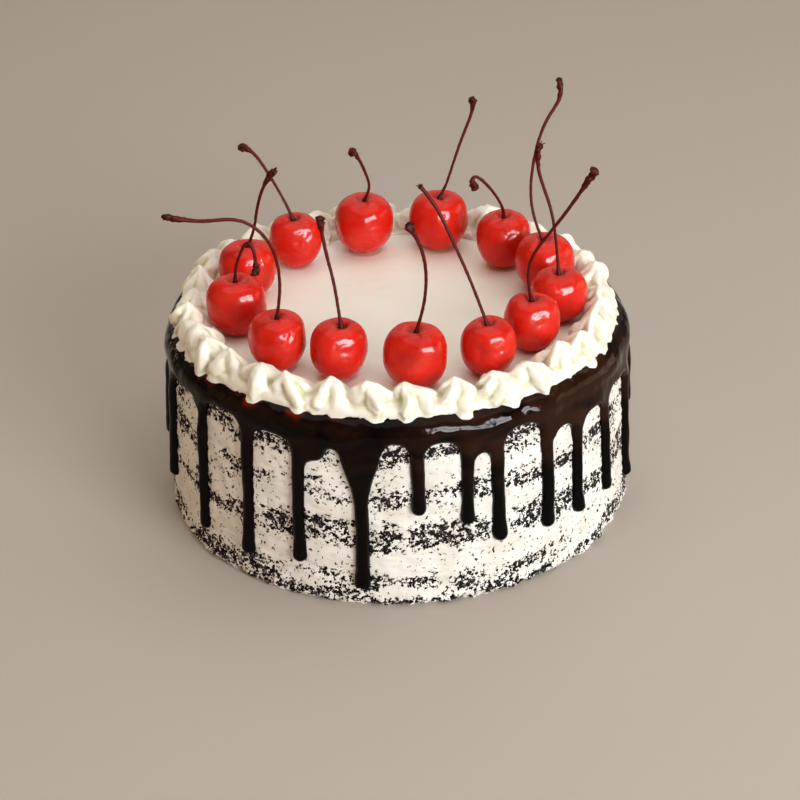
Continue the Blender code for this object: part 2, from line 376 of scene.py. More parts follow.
@dataclass(frozen=True)
class CoatFinish:
    """Thin scraped cream on the wall, with the dark sponge breaking through it in specks."""

    cream: Colour = (0.87, 0.87, 0.83)
    shade: Colour = (0.76, 0.74, 0.68)
    sponge: Colour = (0.005, 0.0025, 0.0022)
    sponge_light: Colour = (0.017, 0.006, 0.005)

    def material(self) -> bpy.types.Material:
        """Makes the finish. It reads the mesh's value "bare", the share of sponge that shows."""
        graph = Graph("crumb_coat")
        coarse = graph.noise(1.45 * MM, detail=4, rough=0.64, stretch=(1, 1, 1.1))
        fine = graph.noise(0.64 * MM, detail=2, rough=0.6)
        speck = graph.math("ADD", graph.math("MULTIPLY", coarse, 0.52), graph.math("MULTIPLY", fine, 0.48))
        lifted = graph.math("ADD", speck, graph.math("MULTIPLY", graph.value("bare"), 0.25))
        shows = graph.ramp(lifted, 0.640, 0.658)
        cream = graph.mix(graph.ramp(graph.noise(9 * MM, 3), 0.35, 0.7), self.cream, self.shade)
        crumb = graph.mix(graph.ramp(graph.noise(0.8 * MM, 2), 0.45, 0.75), self.sponge, self.sponge_light)
        scrape = graph.noise(3.0 * MM, detail=4, stretch=(0.6, 0.6, 1.6))
        smooth = graph.bump(scrape, 0.55 * MM, 0.7)
        graph.set(
            Base_Color=graph.mix(shows, cream, crumb),
            Roughness=graph.ramp(shows, 0.0, 1.0, 0.46, 0.85),
            Specular_IOR_Level=0.09,
            Normal=graph.bump(shows, 0.28 * MM, 0.5, under=smooth),
        )
        return graph.material


@dataclass(frozen=True)
class CrumbFinish:
    """Loose dark chocolate crumbs."""

    dark: Colour = (0.010, 0.005, 0.004)
    light: Colour = (0.050, 0.020, 0.013)

    def material(self) -> bpy.types.Material:
        """Makes the finish."""
        graph = Graph("sponge_crumb")
        graph.set(
            Base_Color=graph.mix(graph.ramp(graph.noise(1.2 * MM), 0.35, 0.7), self.dark, self.light),
            Roughness=0.85,
            Normal=graph.bump(graph.noise(0.25 * MM), 0.1 * MM),
        )
        return graph.material


@dataclass(frozen=True)
class TopFinish:
    """The smoothed cream of the top, with cherry juice soaked in round each cherry."""

    cream: Colour = (0.88, 0.865, 0.795)
    warm: Colour = (0.87, 0.845, 0.765)
    juice: Colour = (0.84, 0.58, 0.49)

    def material(self) -> bpy.types.Material:
        """Makes the finish. It reads the mesh's value "juice"."""
        graph = Graph("top_cream")
        soaked = graph.math("MULTIPLY", graph.value("juice"), graph.ramp(graph.noise(4 * MM, 3), 0.3, 0.7, 0.4, 1.0))
        cream = graph.mix(graph.ramp(graph.noise(22 * MM, 3), 0.35, 0.65), self.cream, self.warm)
        swept = graph.noise(3.0 * MM, detail=3, stretch=(0.5, 1.3, 1))
        graph.set(
            Base_Color=graph.mix(soaked, cream, self.juice),
            Roughness=0.42,
            Normal=graph.bump(swept, 0.14 * MM, 0.5),
            Subsurface_Weight=0.2,
            Subsurface_Scale=2.5 * MM,
        )
        return graph.material


@dataclass(frozen=True)
class PipingFinish:
    """Soft piped cream, warm white, with painted shade in its creases: a darker green-yellow."""

    cream: Colour = (0.87, 0.86, 0.765)
    # painted shade: the darker green-yellow laid into the creases
    fold_shade: Colour = (0.66, 0.645, 0.43)
    juice: Colour = (0.87, 0.60, 0.54)

    def material(self) -> bpy.types.Material:
        """Makes the finish. It reads the mesh's values "fold_shade", which is 1 deep in a crease where shade is
        painted, and "juice".
        """
        graph = Graph("piped_cream")
        # painted shade, strongest deep in the creases
        fold_shade_share = graph.math("MULTIPLY", graph.value("fold_shade"), graph.ramp(graph.noise(5 * MM), 0.3, 0.6, 0.4, 1.0))
        soaked = graph.math("MULTIPLY", graph.value("juice"), graph.ramp(graph.noise(3 * MM, 3), 0.40, 0.62, 0.0, 0.8))
        cream = graph.mix(fold_shade_share, self.cream, self.fold_shade)
        graph.set(
            Base_Color=graph.mix(soaked, cream, self.juice),
            Roughness=0.40,
            Specular_IOR_Level=0.3,
            Normal=graph.bump(graph.noise(0.7 * MM, 3), 0.06 * MM, 0.5),
            Subsurface_Weight=0.25,
            Subsurface_Scale=2.0 * MM,
            Subsurface_Radius=(1.0, 0.9, 0.55),
        )
        return graph.material


@dataclass(frozen=True)
class GanacheFinish:
    """Set glossy chocolate, nearly black, redder where cherry juice has run over it, and browner in swirls and in
    painted sheen on the right and high on the rim.
    """

    chocolate: Colour = (0.0020, 0.0009, 0.0007)
    # browner chocolate in swirls, and painted sheen on the right side and upper rim
    brown_swirl_and_sheen: Colour = (0.022, 0.0080, 0.0036)
    juice: Colour = (0.17, 0.009, 0.003)
    cream: Colour = (0.36, 0.27, 0.19)

    def material(self) -> bpy.types.Material:
        """Makes the finish. It reads the mesh's values "juice", "brown_swirl_and_sheen", for browner swirls and
        painted sheen, and "thin".
        """
        graph = Graph("ganache")
        # painted sheen, mixed with the chocolate's own browner swirls
        chocolate = graph.mix(graph.value("brown_swirl_and_sheen"), self.chocolate, self.brown_swirl_and_sheen)
        streak = graph.ramp(graph.noise(1.1 * MM, 2, stretch=(1, 1, 0.2)), 0.53, 0.70)
        marbled = graph.mix(graph.math("MULTIPLY", streak, graph.value("thin")), chocolate, self.cream)
        ripple = graph.bump(graph.noise(5.0 * MM, 1.4, stretch=(1, 1, 0.8)), 0.9 * MM, 0.5)
        graph.set(
            Base_Color=graph.mix(graph.value("juice"), marbled, self.juice),
            Roughness=graph.ramp(graph.noise(4 * MM, 4), 0.35, 0.7, 0.05, 0.14),
            Specular_IOR_Level=0.09,
            Normal=graph.bump(graph.noise(1.6 * MM, 1), 0.04 * MM, 0.4, under=ripple),
        )
        return graph.material


@dataclass(frozen=True)
class CherryFinish:
    """The wet, glassy red of a glazed cherry."""

    red: Colour = (0.62, 0.014, 0.006)
    # the darker red of random mottling, also used as painted shade in the pit round the stem
    deep: Colour = (0.27, 0.005, 0.003)
    # painted reflected light: the paler red low on the cherry, also used in its wrinkled patches
    pale: Colour = (0.80, 0.080, 0.046)

    def material(self) -> bpy.types.Material:
        """Makes the finish. It reads the mesh's values "pale", the paler red of painted reflected light low down and
        of wrinkled patches, "deep", painted shade in the pit round the stem, and "wrinkled".
        """
        graph = Graph("glazed_cherry")
        creases = graph.math("MULTIPLY", graph.noise(0.9 * MM, 3, 0.6), graph.value("wrinkled"))
        mottled = graph.mix(graph.ramp(graph.noise(7 * MM, 2), 0.45, 0.8, 0.0, 0.55), self.red, self.deep)
        # painted reflected light, paler low down, and paler in wrinkled patches
        faded = graph.mix(graph.value("pale"), mottled, self.pale)
        graph.set(
            # painted shade in the pit round the stem
            Base_Color=graph.mix(graph.value("deep"), faded, self.deep),
            Roughness=graph.ramp(graph.noise(3 * MM, 2), 0.4, 0.7, 0.20, 0.32),
            Specular_IOR_Level=0.12,
            Normal=graph.bump(creases, 0.20 * MM, 0.8, under=graph.bump(graph.noise(2.6 * MM, 2), 0.05 * MM, 0.5)),
            Subsurface_Weight=0.28,
            Subsurface_Scale=2.5 * MM,
            Subsurface_Radius=(1.0, 0.12, 0.06),
            Coat_Weight=0.38,
            Coat_Roughness=0.035,
            Coat_IOR=1.36,
        )
        return graph.material


@dataclass(frozen=True)
class StemFinish:
    """A dry cherry stem, dark at both ends and redder between."""

    dark: Colour = (0.028, 0.005, 0.003)
    red: Colour = (0.110, 0.007, 0.004)

    def material(self) -> bpy.types.Material:
        """Makes the finish. It reads the mesh's value "dark", which is 1 at a dark end."""
        graph = Graph("cherry_stem")
        streak = graph.math("ADD", graph.value("dark"), graph.ramp(graph.noise(1.6 * MM, 3), 0.4, 0.8, 0.0, 0.5))
        graph.set(
            Base_Color=graph.mix(streak, self.red, self.dark),
            Roughness=0.45,
            Specular_IOR_Level=0.07,
            Normal=graph.bump(graph.noise(0.4 * MM, 3), 0.12 * MM, 0.7),
        )
        return graph.material


@dataclass(frozen=True)
class FloorFinish:
    """A plain pale surface."""

    colour: Colour = (0.46, 0.42, 0.38)

    def material(self) -> bpy.types.Material:
        """Makes the finish."""
        graph = Graph("floor")
        graph.set(Base_Color=self.colour, Roughness=0.8, Specular_IOR_Level=0.03)
        return graph.material


# ---------------------------------------------------------------- the cake's body


class LayerKind(Enum):
    """What a layer is made of, and the name its nodes start with."""

    SPONGE = "sponge"
    CREAM = "filling"


@dataclass(frozen=True)
class CakeShape:
    """The tapered body of the cake, read from its solids."""

    foot_radius: float
    taper: float  # radius lost for each metre of height
    top: float

    @classmethod
    def from_frame(cls) -> "CakeShape":
        """Reads the shape from the lowest and the highest sponge and from the cream on top."""
        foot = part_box("sponge_1")[1]
        low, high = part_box("sponge_4")
        return cls(foot.x, (foot.x - high.x) / low.z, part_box("top_cream")[1].z)

    def wall(self, z: Array) -> Array:
        """The wall's radius at a height."""
        return self.foot_radius - self.taper * z


@dataclass(frozen=True)
class CrumbRow:
    """A row where the sponge shows through the coat, at the height of a sponge layer."""

    height: float
    half: float
    strength: float


@dataclass
class Coat:
    """The scraped coat of cream: where it is thin, and its relief."""

    shape: CakeShape
    inset: float = 0.3 * MM  # the mean surface lies this far inside the solids
    rows: tuple[CrumbRow, ...] = (
        CrumbRow(3.6 * MM, 5.6 * MM, 1.02),
        CrumbRow(24.0 * MM, 4.0 * MM, 1.30),
        CrumbRow(37.6 * MM, 3.6 * MM, 0.80),
        CrumbRow(53.6 * MM, 5.2 * MM, 1.45),
    )
    lumps: Noise = field(default_factory=lambda: Noise(3))
    patches: Noise = field(default_factory=lambda: Noise(4))
    strokes: Noise = field(default_factory=lambda: Noise(5))

    def place(self, angle: Array, z: Array) -> Array:
        """Points on the plain wall."""
        return polar(angle, self.shape.wall(z), z)

    def thin(self, angle: Array, z: Array) -> Array:
        """How thin the coat is: 0 is thick, 1 is scraped down to the sponge.

        Args:
            angle: Angles round the cake.
            z: Heights.

        Returns:
            The thinness, before the crumb's own lumps.
        """
        spot = self.place(angle, z)
        waver = self.patches.at(spot, (34 * MM, 34 * MM, 60 * MM)) * 2.2 * MM
        swell = 1 + 0.45 * self.patches.at(spot + 0.3, (22 * MM, 22 * MM, 40 * MM))
        patch = self.patches.at(spot + 0.7, (11 * MM, 11 * MM, 4.5 * MM))
        total = np.zeros(spot.shape[:-1])
        for row in self.rows:
            off = np.abs(spot[..., 2] - row.height - waver) / (row.half * swell)
            total = np.maximum(total, row.strength * (1 - smooth_step(off, 0.55, 1.5)))
        return np.clip(total * (0.74 + 1.05 * patch) + 0.15 + 0.26 * patch, 0, 1.15)

    def bare(self, angle: Array, z: Array) -> Array:
        """How plainly a crumb shows: above 0.5 it breaks through the coat.

        Args:
            angle: Angles round the cake.
            z: Heights.

        Returns:
            The value that the coat's finish reads.
        """
        spot = self.place(angle, z)
        lump = self.lumps.at(spot, (1.4 * MM, 1.4 * MM, 1.25 * MM))
        grain = self.lumps.at(spot + 0.5, 0.8 * MM)
        lift = 2.35 * self.thin(angle, z) - 1.85
        return np.clip(0.5 + 0.25 * ((0.8 * lump + 0.5 * grain) / 0.33 + lift), -0.5, 1.5)

    def surface(self, angle: Array, z: Array, bare: Array) -> Array:
        """The radius of the coat's own surface.

        Args:
            angle: Angles round the cake.
            z: Heights.
            bare: The bareness there.

        Returns:
            Radii.
        """
        spot = self.place(angle, z)
        wave = 0.30 * MM * self.strokes.at(spot, (22 * MM, 22 * MM, 8 * MM))
        knife = 0.28 * MM * self.strokes.at(spot + 0.2, (9 * MM, 9 * MM, 2.4 * MM))
        clots = 0.18 * MM * self.strokes.at(spot + 0.8, (2.8 * MM, 2.8 * MM, 2.0 * MM))
        crumb = smooth_step(bare, 0.42, 0.62)
        rough = 0.16 * MM * self.lumps.at(spot + 0.9, 1.1 * MM)
        foot = 1 - smooth_step(z, 0.6 * MM, 6 * MM)
        skirt = foot * 1.0 * MM * self.strokes.at(spot + 0.4, (4.0 * MM, 4.0 * MM, 5 * MM))
        skirt = skirt + foot * 0.65 * MM * self.strokes.at(spot + 0.6, 1.8 * MM)
        tuck = 0.9 * MM * (1 - smooth_step(z, 0.0, 1.3 * MM))
        relief = wave + knife + clots + skirt - tuck + crumb * (rough - 0.20 * MM)
        return self.shape.wall(z) - self.inset + relief

    def normals(self, angle: Array, z: Array, step: float = 0.4 * MM) -> Array:
        """The outward directions of the coat's own surface.

        Args:
            angle: Angles round the cake.
            z: Heights.
            step: How far apart the places are that they are read from.

        Returns:
            Unit vectors.
        """
        turn = step / self.shape.foot_radius
        ends = []
        for by, up in ((turn, 0), (-turn, 0), (0, step), (0, -step)):
            spot = (angle + by, z + up)
            ends.append(polar(spot[0], self.surface(*spot, self.bare(*spot)), spot[1]))
        out = np.cross(ends[0] - ends[1], ends[2] - ends[3])
        return out / np.linalg.norm(out, axis=-1, keepdims=True)


@dataclass
class CakeLayer:
    """One layer of sponge or cream, which runs through the cake and ends in the coat."""

    kind: LayerKind
    number: int
    low: float
    high: float
    coat: Coat
    pitch: float = 0.5 * MM

    @property
    def node(self) -> str:
        """The name of the layer's node."""
        return f"{self.kind.value}_{self.number}"

    def build(self, material: bpy.types.Material) -> bpy.types.Object:
        """Makes the layer as one closed piece with the coat's relief on its edge.

        Args:
            material: The coat's finish.

        Returns:
            The piece, which replaces the layer's node.
        """
        columns = round(TURN * self.coat.shape.foot_radius / self.pitch)
        rows = max(2, round((self.high - self.low) / self.pitch) + 1)
        angle = np.arange(columns)[None, :] * TURN / columns
        z = np.linspace(self.low, self.high, rows)[:, None]
        angle, z = np.broadcast_arrays(angle, z)
        bare = self.coat.bare(angle, z)
        rings = polar(angle, self.coat.surface(angle, z, bare), z)
        skin = closed_skin(rings, {"bare": bare})
        skin.normals = np.zeros_like(skin.points)
        for row, first in ((0, 0), (-1, (rows - 1) * columns)):
            skin.normals[first : first + columns] = self.coat.normals(angle[row], z[row])
        piece = skin.piece(f"{self.node}_coated", material)
        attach(piece, BODY)
        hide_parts(self.node)
        return piece


@dataclass
class CakeBody:
    """All the layers below the cream on top."""

    coat: Coat
    order: tuple[LayerKind, ...] = (LayerKind.SPONGE, LayerKind.CREAM) * 3 + (LayerKind.SPONGE,)

    def build(self) -> list[bpy.types.Object]:
        """Makes each layer from its node's box.

        Returns:
            The pieces, from the plate up.
        """
        material = CoatFinish().material()
        counts = dict.fromkeys(LayerKind, 0)
        layers = []
        for kind in self.order:
            counts[kind] += 1
            low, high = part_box(f"{kind.value}_{counts[kind]}")
            layers.append(CakeLayer(kind, counts[kind], low.z, high.z, self.coat))
        for layer, above in zip(layers, layers[1:]):
            layer.high = above.low
        layers[-1].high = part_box("top_cream")[0].z
        return [layer.build(material) for layer in layers]


@dataclass
class LooseCrumbs:
    """Crumbs that the knife dragged out of the sponge and left on the wall."""

    coat: Coat
    count: int = 5200
    least: float = 0.16 * MM
    most: float = 0.62 * MM
    seed: int = 21

    def lump(self, rng: np.random.Generator, size: float) -> tuple[Array, Array]:
        """An angular crumb of eight corners.

        Args:
            rng: Where its shape is drawn from.
            size: Its radius.

        Returns:
            Its points and triangles.
        """
        corners = np.array(list(itertools.product((-1.0, 1.0), repeat=3)))
        points = corners * size * 0.6 * rng.uniform(0.55, 1.35, (8, 3))
        quads = ((0, 1, 3, 2), (4, 6, 7, 5), (0, 4, 5, 1), (2, 3, 7, 6), (0, 2, 6, 4), (1, 5, 7, 3))
        triangles = [(a, b, c) for a, b, c, _ in quads] + [(a, c, d) for a, _, c, d in quads]
        return points, np.array(triangles)

    def build(self) -> bpy.types.Object:
        """Makes the crumbs as one joined piece, thickest where the coat is thin.

        Returns:
            The piece.
        """
        rng = np.random.default_rng(self.seed)
        drawn = 7 * self.count
        angle = rng.uniform(0, TURN, drawn)
        z = rng.uniform(0.3 * MM, self.coat.shape.top - 3 * MM, drawn)
        chosen = rng.uniform(0, 1, drawn) < self.coat.thin(angle, z) ** 2 * 0.5
        angle, z = angle[chosen][: self.count], z[chosen][: self.count]
        bare = self.coat.bare(angle, z)
        radius = self.coat.surface(angle, z, bare)
        places = polar(angle, radius, z)
        skins = []
        for place, size in zip(places, self.least + (self.most - self.least) * rng.power(0.5, len(places))):
            points, triangles = self.lump(rng, size)
            turn = Matrix.Rotation(rng.uniform(0, TURN), 3, Vector(rng.normal(size=3)))
            room = max(0.0, self.least - place[2] + size)
            skins.append(Skin(points @ np.array(turn) + place + np.array([0, 0, room]), triangles))
        piece = joined(skins).piece("loose_crumbs", CrumbFinish().material(), smooth=False)
        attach(piece, BODY)
        return piece


# ---------------------------------------------------------------- the top


@dataclass
class TopCream:
    """The smoothed cream on top, dented and stained where each cherry stands."""

    shape: CakeShape
    feet: list[tuple[Vector, float]]  # the place and foot radius of each cherry
    edge_cut: float = 2.2 * MM
    columns: int = 560
    pitch: float = 0.8 * MM

    def relief(self, spots: Array) -> Array:
        """How high the cream stands over its mean level.

        Args:
            spots: Points on the top, shaped (..., 3).

        Returns:
            Heights, which fade out at the edge.
        """
        noise = Noise(31)
        turned = spots @ np.array(Matrix.Rotation(math.radians(24), 3, "Z"))
        wave = 0.22 * MM * noise.at(spots, 17 * MM)
        knife = 0.05 * MM * noise.at(turned, (24 * MM, 4 * MM, 1.0))
        ridge = 0.16 * MM * np.maximum(0, noise.at(turned + 0.4, (14 * MM, 6 * MM, 1.0)) - 0.45) / 0.3
        inside = 1 - smooth_step(np.linalg.norm(spots[..., :2], axis=-1), 62 * MM, 66 * MM)
        return (wave + knife + ridge - 0.1 * MM) * inside

    def build(self) -> bpy.types.Object:
        """Makes the cream as one closed piece.

        Returns:
            The piece, which replaces the top cream's node.
        """
        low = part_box("top_cream")[0].z
        rim = self.shape.wall(self.shape.top - self.edge_cut) - 0.3 * MM
        side = [(self.shape.wall(low) - 0.3 * MM, low), (rim, self.shape.top - self.edge_cut)]
        flat = np.arange(rim - self.edge_cut, 1.5 * MM, -self.pitch)
        profile = side + [(radius, self.shape.top) for radius in flat]
        radius, z = np.array(profile).T
        angle = np.arange(self.columns) * TURN / self.columns
        rings = polar(angle[None, :], radius[:, None], z[:, None])
        juice = np.zeros(rings.shape[:2])
        rings[2:, :, 2] += self.relief(rings[2:])
        for place, foot in self.feet:
            away = np.hypot(rings[..., 0] - place.x, rings[..., 1] - place.y)
            near = np.exp(-(((away - foot) / (1.1 * MM)) ** 2))
            rings[2:, :, 2] += 0.25 * MM * near[2:] * (z[2:, None] > low)
            juice = np.maximum(juice, 0.6 * (1 - smooth_step(away, foot * 0.8, foot + 1.8 * MM)))
        piece = closed_skin(rings, {"juice": juice}).piece("top_cream_smoothed", TopFinish().material())
        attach(piece, BODY)
        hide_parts("top_cream")
        return piece


# ---------------------------------------------------------------- ganache


@dataclass(frozen=True)
class Drip:
    """One drip: its place, its length below the top, its width, and the depth of the arch
    between it and the next drip."""

    angle: float
    length: float
    width: float
    arch: float
    funnel: float = 0.0  # how much wider its root is on each side


def drip(degrees: float, length: float, width: float, arch: float, funnel: float = 0.0) -> Drip:
    """A drip from an angle in degrees and sizes in millimetres."""
    return Drip(math.radians(degrees), length * MM, width * MM, arch * MM, funnel * MM)


FRONT_DRIPS = (
    drip(196, 46.0, 4.2, 7.5),
    drip(216, 51.0, 4.0, 5.5),
    drip(232, 50.5, 4.4, 7.0),
    drip(246, 47.5, 4.2, 6.5),
    drip(261, 54.5, 4.6, 5.5, funnel=4.4),
    drip(274, 29.0, 4.4, 6.5),
    drip(285.5, 34.0, 4.2, 11.5),
    drip(293, 41.5, 4.6, 6.0),
    drip(306.5, 43.0, 4.5, 11.5),
    drip(316.5, 43.5, 4.2, 12.0),
    drip(329, 44.0, 4.2, 11.0),
    drip(345, 51.0, 4.0, 9.0),
    drip(356, 32.0, 4.0, 8.0),
)


@dataclass
class Ganache:
    """The poured rim: a flange under the piping, a rounded shoulder and the drips."""

    shape: CakeShape
    piping_foot: Array  # points along the foot of the piping, where juice gathers
    drips: tuple[Drip, ...] = FRONT_DRIPS
    sag: Drip = drip(250.2, 12.6, 5.5, 0)  # a step in one arch, where the rim has only sagged
    back_count: int = 14
    back_seed: int = 11
    thickness: float = 1.5 * MM
    drip_extra: float = 0.35 * MM  # a drip stands out this much more than the rim
    end_extra: float = 0.25 * MM  # and its end this much more again
    edge: float = 2.1 * MM  # how far in from its edge the skin reaches its full thickness
    embed: float = 0.45 * MM  # its underside lies this far inside the cake
    shoulder: float = 4.6 * MM
    flange: float = 3.4 * MM
    fillet: float = 5.4 * MM  # how widely a drip flows into the rim
    columns: int = 880
    pitch: float = 0.5 * MM

    def all_drips(self) -> list[Drip]:
        """The drips at the front, and more of the same kind round the back.

        Returns:
            Every drip, in order round the cake.
        """
        rng = random.Random(self.back_seed)
        start = self.drips[-1].angle
        step = (self.drips[0].angle + TURN - start) / (self.back_count + 1)
        back = []
        for number in range(self.back_count):
            place = start + step * (number + 1 + rng.uniform(-0.14, 0.14))
            length = rng.uniform(28, 53) * MM
            width = rng.uniform(3.9, 4.6) * MM
            back.append(Drip(place, length, width, rng.uniform(5.5, 11.5) * MM))
        return [*self.drips, *back]

    def path(self, run: Array) -> tuple[Array, Array, Array, Array]:
        """The bare cake along its section, from the flange over the shoulder and down the wall.

        Args:
            run: Distances along the section; 0 is where the shoulder begins.

        Returns:
            The radius, the height, and the outward direction as (radial, up).
        """
        centre = self.shape.wall(self.shape.top - self.shoulder) - self.shoulder
        lean = math.pi / 2 - math.atan(self.shape.taper)
        bend = np.clip(run / self.shoulder, 0, lean)
        down = np.maximum(0, run - lean * self.shoulder)
        radial, up = np.sin(bend), np.cos(bend)
        radius = centre + self.shoulder * radial + up * down + np.minimum(run, 0)
        z = self.shape.top - self.shoulder * (1 - up) - radial * down
        return radius, z, radial, up

    def rim_depth(self, angle: Array, drips: list[Drip]) -> Array:
        """The depth of the plain rim's edge, set so that each arch ends as deep as it should.

        Args:
            angle: Angles round the cake.
            drips: Every drip, in order.

        Returns:
            The depth at each angle.
        """
        marks, depths = [], []
        mean = self.shape.wall(0.5 * self.shape.top)
        for here, after in zip(drips, drips[1:] + drips[:1]):
            span = (after.angle - here.angle) % TURN
            start = here.angle + 0.5 * here.width / mean
            end = here.angle + span - 0.5 * after.width / mean
            side = min(0.0, self.fillet / 4 - 0.5 * (end - start) * mean)
            reach = -self.fillet + 2 * math.sqrt(-self.fillet * side)
            rise = side + reach if side > -self.fillet else 0.0
            marks += [start, end]
            depths += [here.arch + rise] * 2
        return np.interp(angle, np.array(marks), np.array(depths), period=TURN)

    def inset(self, angle: Array, run: Array) -> Array:
        """How far inside the ganache's outline a place is. Outside, it is below 0.

        Args:
            angle: Angles round the cake.
            run: Distances along the section.

        Returns:
            The distances.
        """
        drips = self.all_drips()
        z = self.path(run)[1]
        depth = self.shape.top - z
        mean = self.shape.wall(0.5 * self.shape.top)
        inside = np.full(np.broadcast(angle, run).shape, -1.0)
        for number, item in enumerate([*drips, self.sag]):
            sway = 0.14 * MM * np.sin(depth / (6.5 * MM) + 2.1 * number)
            across = ((angle - item.angle + math.pi) % TURN - math.pi) * mean - sway
            bulb = smooth_step(depth, item.length - 8 * MM, item.length - 2.5 * MM)
            neck = smooth_step(depth, 12 * MM, 24 * MM) * (1 - bulb)
            half = 0.5 * item.width * (1 + 0.06 * bulb - 0.09 * neck)
            half = half + item.funnel * (1 - smooth_step(depth, 5 * MM, 27 * MM))
            past = np.maximum(0, depth - (item.length - 0.5 * item.width))
            inside = self.soft_max(inside, half - np.hypot(across, past))
        rim = self.rim_depth(angle, drips) - np.where(run < 0, run, depth)
        ragged = 0.12 * MM * Noise(41).at(polar(angle, self.shape.wall(z), z), 3.2 * MM)
        return np.minimum(self.soft_max(rim, inside) + ragged, run + self.flange)

    def soft_max(self, first: Array, second: Array) -> Array:
        """The larger of two values, rounded where they are alike."""
        blend = np.maximum(0, self.fillet - np.abs(first - second)) / self.fillet
        return np.maximum(first, second) + 0.25 * self.fillet * blend**2

    def full_thickness(self, angle: Array, run: Array) -> Array:
        """How thick the skin is away from its edge: uneven, and thicker down the drips."""
        radius, z, *_ = self.path(run)
        spots = polar(angle, radius, z)
        depth = self.shape.top - z
        wave = 0.45 * MM * Noise(42).at(spots, (11 * MM, 11 * MM, 9 * MM))
        beads = 0.16 * MM * Noise(43).at(spots, (4.6 * MM, 4.6 * MM, 6 * MM))
        rim = 1 - smooth_step(depth, 9 * MM, 18 * MM)
        swirl = 0.55 * MM * rim * Noise(46).at(spots + self.bend(spots), (15 * MM, 15 * MM, 4.6 * MM))
        extra = self.drip_extra * smooth_step(depth, 8 * MM, 18 * MM)
        mean = self.shape.wall(0.5 * self.shape.top)
        for item in self.all_drips():
            across = np.abs((angle - item.angle + math.pi) % TURN - math.pi) * mean
            end = smooth_step(depth, item.length - 8 * MM, item.length - 2 * MM)
            extra = extra + self.end_extra * end * (across < item.width)
        return self.thickness + wave + beads + swirl + extra

    def bend(self, spots: Array) -> Array:
        """How far the ganache's swirls are dragged aside at each place."""
        return 5 * MM * np.stack([Noise(45).at(spots + offset, 12 * MM) for offset in (0, 0.3, 0.6)], -1)

    def skin(self) -> Skin:
        """Cuts a fine grid along the ganache's outline and rounds it up from its edge.

        Returns:
            The closed skin, with its values "juice", "brown_swirl_and_sheen" and "thin".
        """
        deepest = max(item.length for item in self.drips) + 3 * self.pitch
        run = np.concatenate([[-self.flange - 1 * MM], np.arange(-self.flange, deepest, self.pitch)])
        angle = np.arange(self.columns) * TURN / self.columns
        grid_angle, grid_run = np.meshgrid(angle, run)
        inset = self.inset(grid_angle, grid_run)
        outline = Outline(inset, grid_angle, grid_run)
        spots_angle, spots_run, depth_in = outline.spots(self.edge, self.shape.wall(0.5 * self.shape.top))
        round_up = np.clip(depth_in / self.edge, 0, 1) * math.pi / 2
        lift = (self.full_thickness(spots_angle, spots_run) + self.embed) * np.sin(round_up) - self.embed
        outer = self.raised(spots_angle, spots_run, lift)
        inner = self.raised(spots_angle, spots_run, np.full(len(lift), -self.embed))
        under = np.arange(len(outer)) + len(outer)
        under[outline.edge_start :] = np.arange(outline.edge_start, len(outer))
        triangles = np.concatenate([outline.triangles, under[outline.triangles[:, ::-1]]])
        points = np.concatenate([outer, inner[: outline.edge_start]])
        triangles = np.where(triangles >= len(outer), triangles, triangles)
        values = self.stains(spots_angle, spots_run)
        kept = {key: np.concatenate([value, value[: outline.edge_start]]) for key, value in values.items()}
        return Skin(np.clip(points, *np.array(CAD_BOX)), triangles, kept)

    def raised(self, angle: Array, run: Array, lift: Array) -> Array:
        """Points lifted off the bare cake.

        Args:
            angle: Angles round the cake.
            run: Distances along the section.
            lift: How far they are lifted.

        Returns:
            The points.
        """
        radius, z, radial, up = self.path(run)
        return polar(angle, radius + lift * radial, z + lift * up)

    def stains(self, angle: Array, run: Array) -> dict[str, Array]:
        """Where cherry juice has run, how much browner the ganache is in swirls and painted sheen, and where the skin
        is thin and lets the cream through.

        Args:
            angle: Angles round the cake.
            run: Distances along the section.

        Returns:
            The values "juice", "brown_swirl_and_sheen" and "thin".
        """
        degrees = np.degrees(angle) % 360
        radius, z, *_ = self.path(run)
        spots = polar(angle, radius, z)
        patchy = Noise(44).at(spots, 10 * MM)
        left = smooth_step(degrees, 203, 212) * (1 - smooth_step(degrees, 244, 262))
        near = np.full(len(run), 1.0)
        tree = KDTree(len(self.piping_foot))
        for number, point in enumerate(self.piping_foot):
            tree.insert(point, number)
        tree.balance()
        for number in np.flatnonzero((left > 0) & (run < 8 * MM)):
            near[number] = tree.find(spots[number])[2]
        band = np.exp(-((np.maximum(0, near - 0.8 * MM) / (0.45 * MM)) ** 2))
        far = smooth_step(degrees, 176, 186) * (1 - smooth_step(degrees, 199, 208))
        return {
            "juice": left * band * np.clip(0.30 + 1.6 * patchy, 0, 0.9),
            "brown_swirl_and_sheen": self.brown_swirl_and_sheen(degrees, spots),
            "thin": 0.5 * far * smooth_step(run, 1 * MM, 4 * MM) * (1 - smooth_step(run, 11 * MM, 17 * MM)),
        }

    def brown_swirl_and_sheen(self, degrees: Array, spots: Array) -> Array:
        """How much browner the ganache is: in swirls of its own tone, plus painted sheen that is strongest on the
        right and high on the rim.
        """
        # painted sheen: browner towards the right side and high on the rim, fading down the drips
        right = np.clip(1.6 * np.cos(np.radians(degrees - 335)) - 0.5, 0, 1)
        rim = 1 - smooth_step(self.shape.top - spots[..., 2], 11 * MM, 26 * MM)
        swirl = Noise(47).at(spots + self.bend(spots), (12 * MM, 12 * MM, 4 * MM))
        return np.clip((0.15 + 0.60 * right) * rim * (1 + 2.0 * swirl), 0, 1)

    def build(self) -> bpy.types.Object:
        """Makes the ganache.

        Returns:
            The piece, which replaces the ganache's node.
        """
        piece = self.skin().piece("ganache_poured", GanacheFinish().material())
        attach(piece, BODY)
        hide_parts("ganache")
        return piece


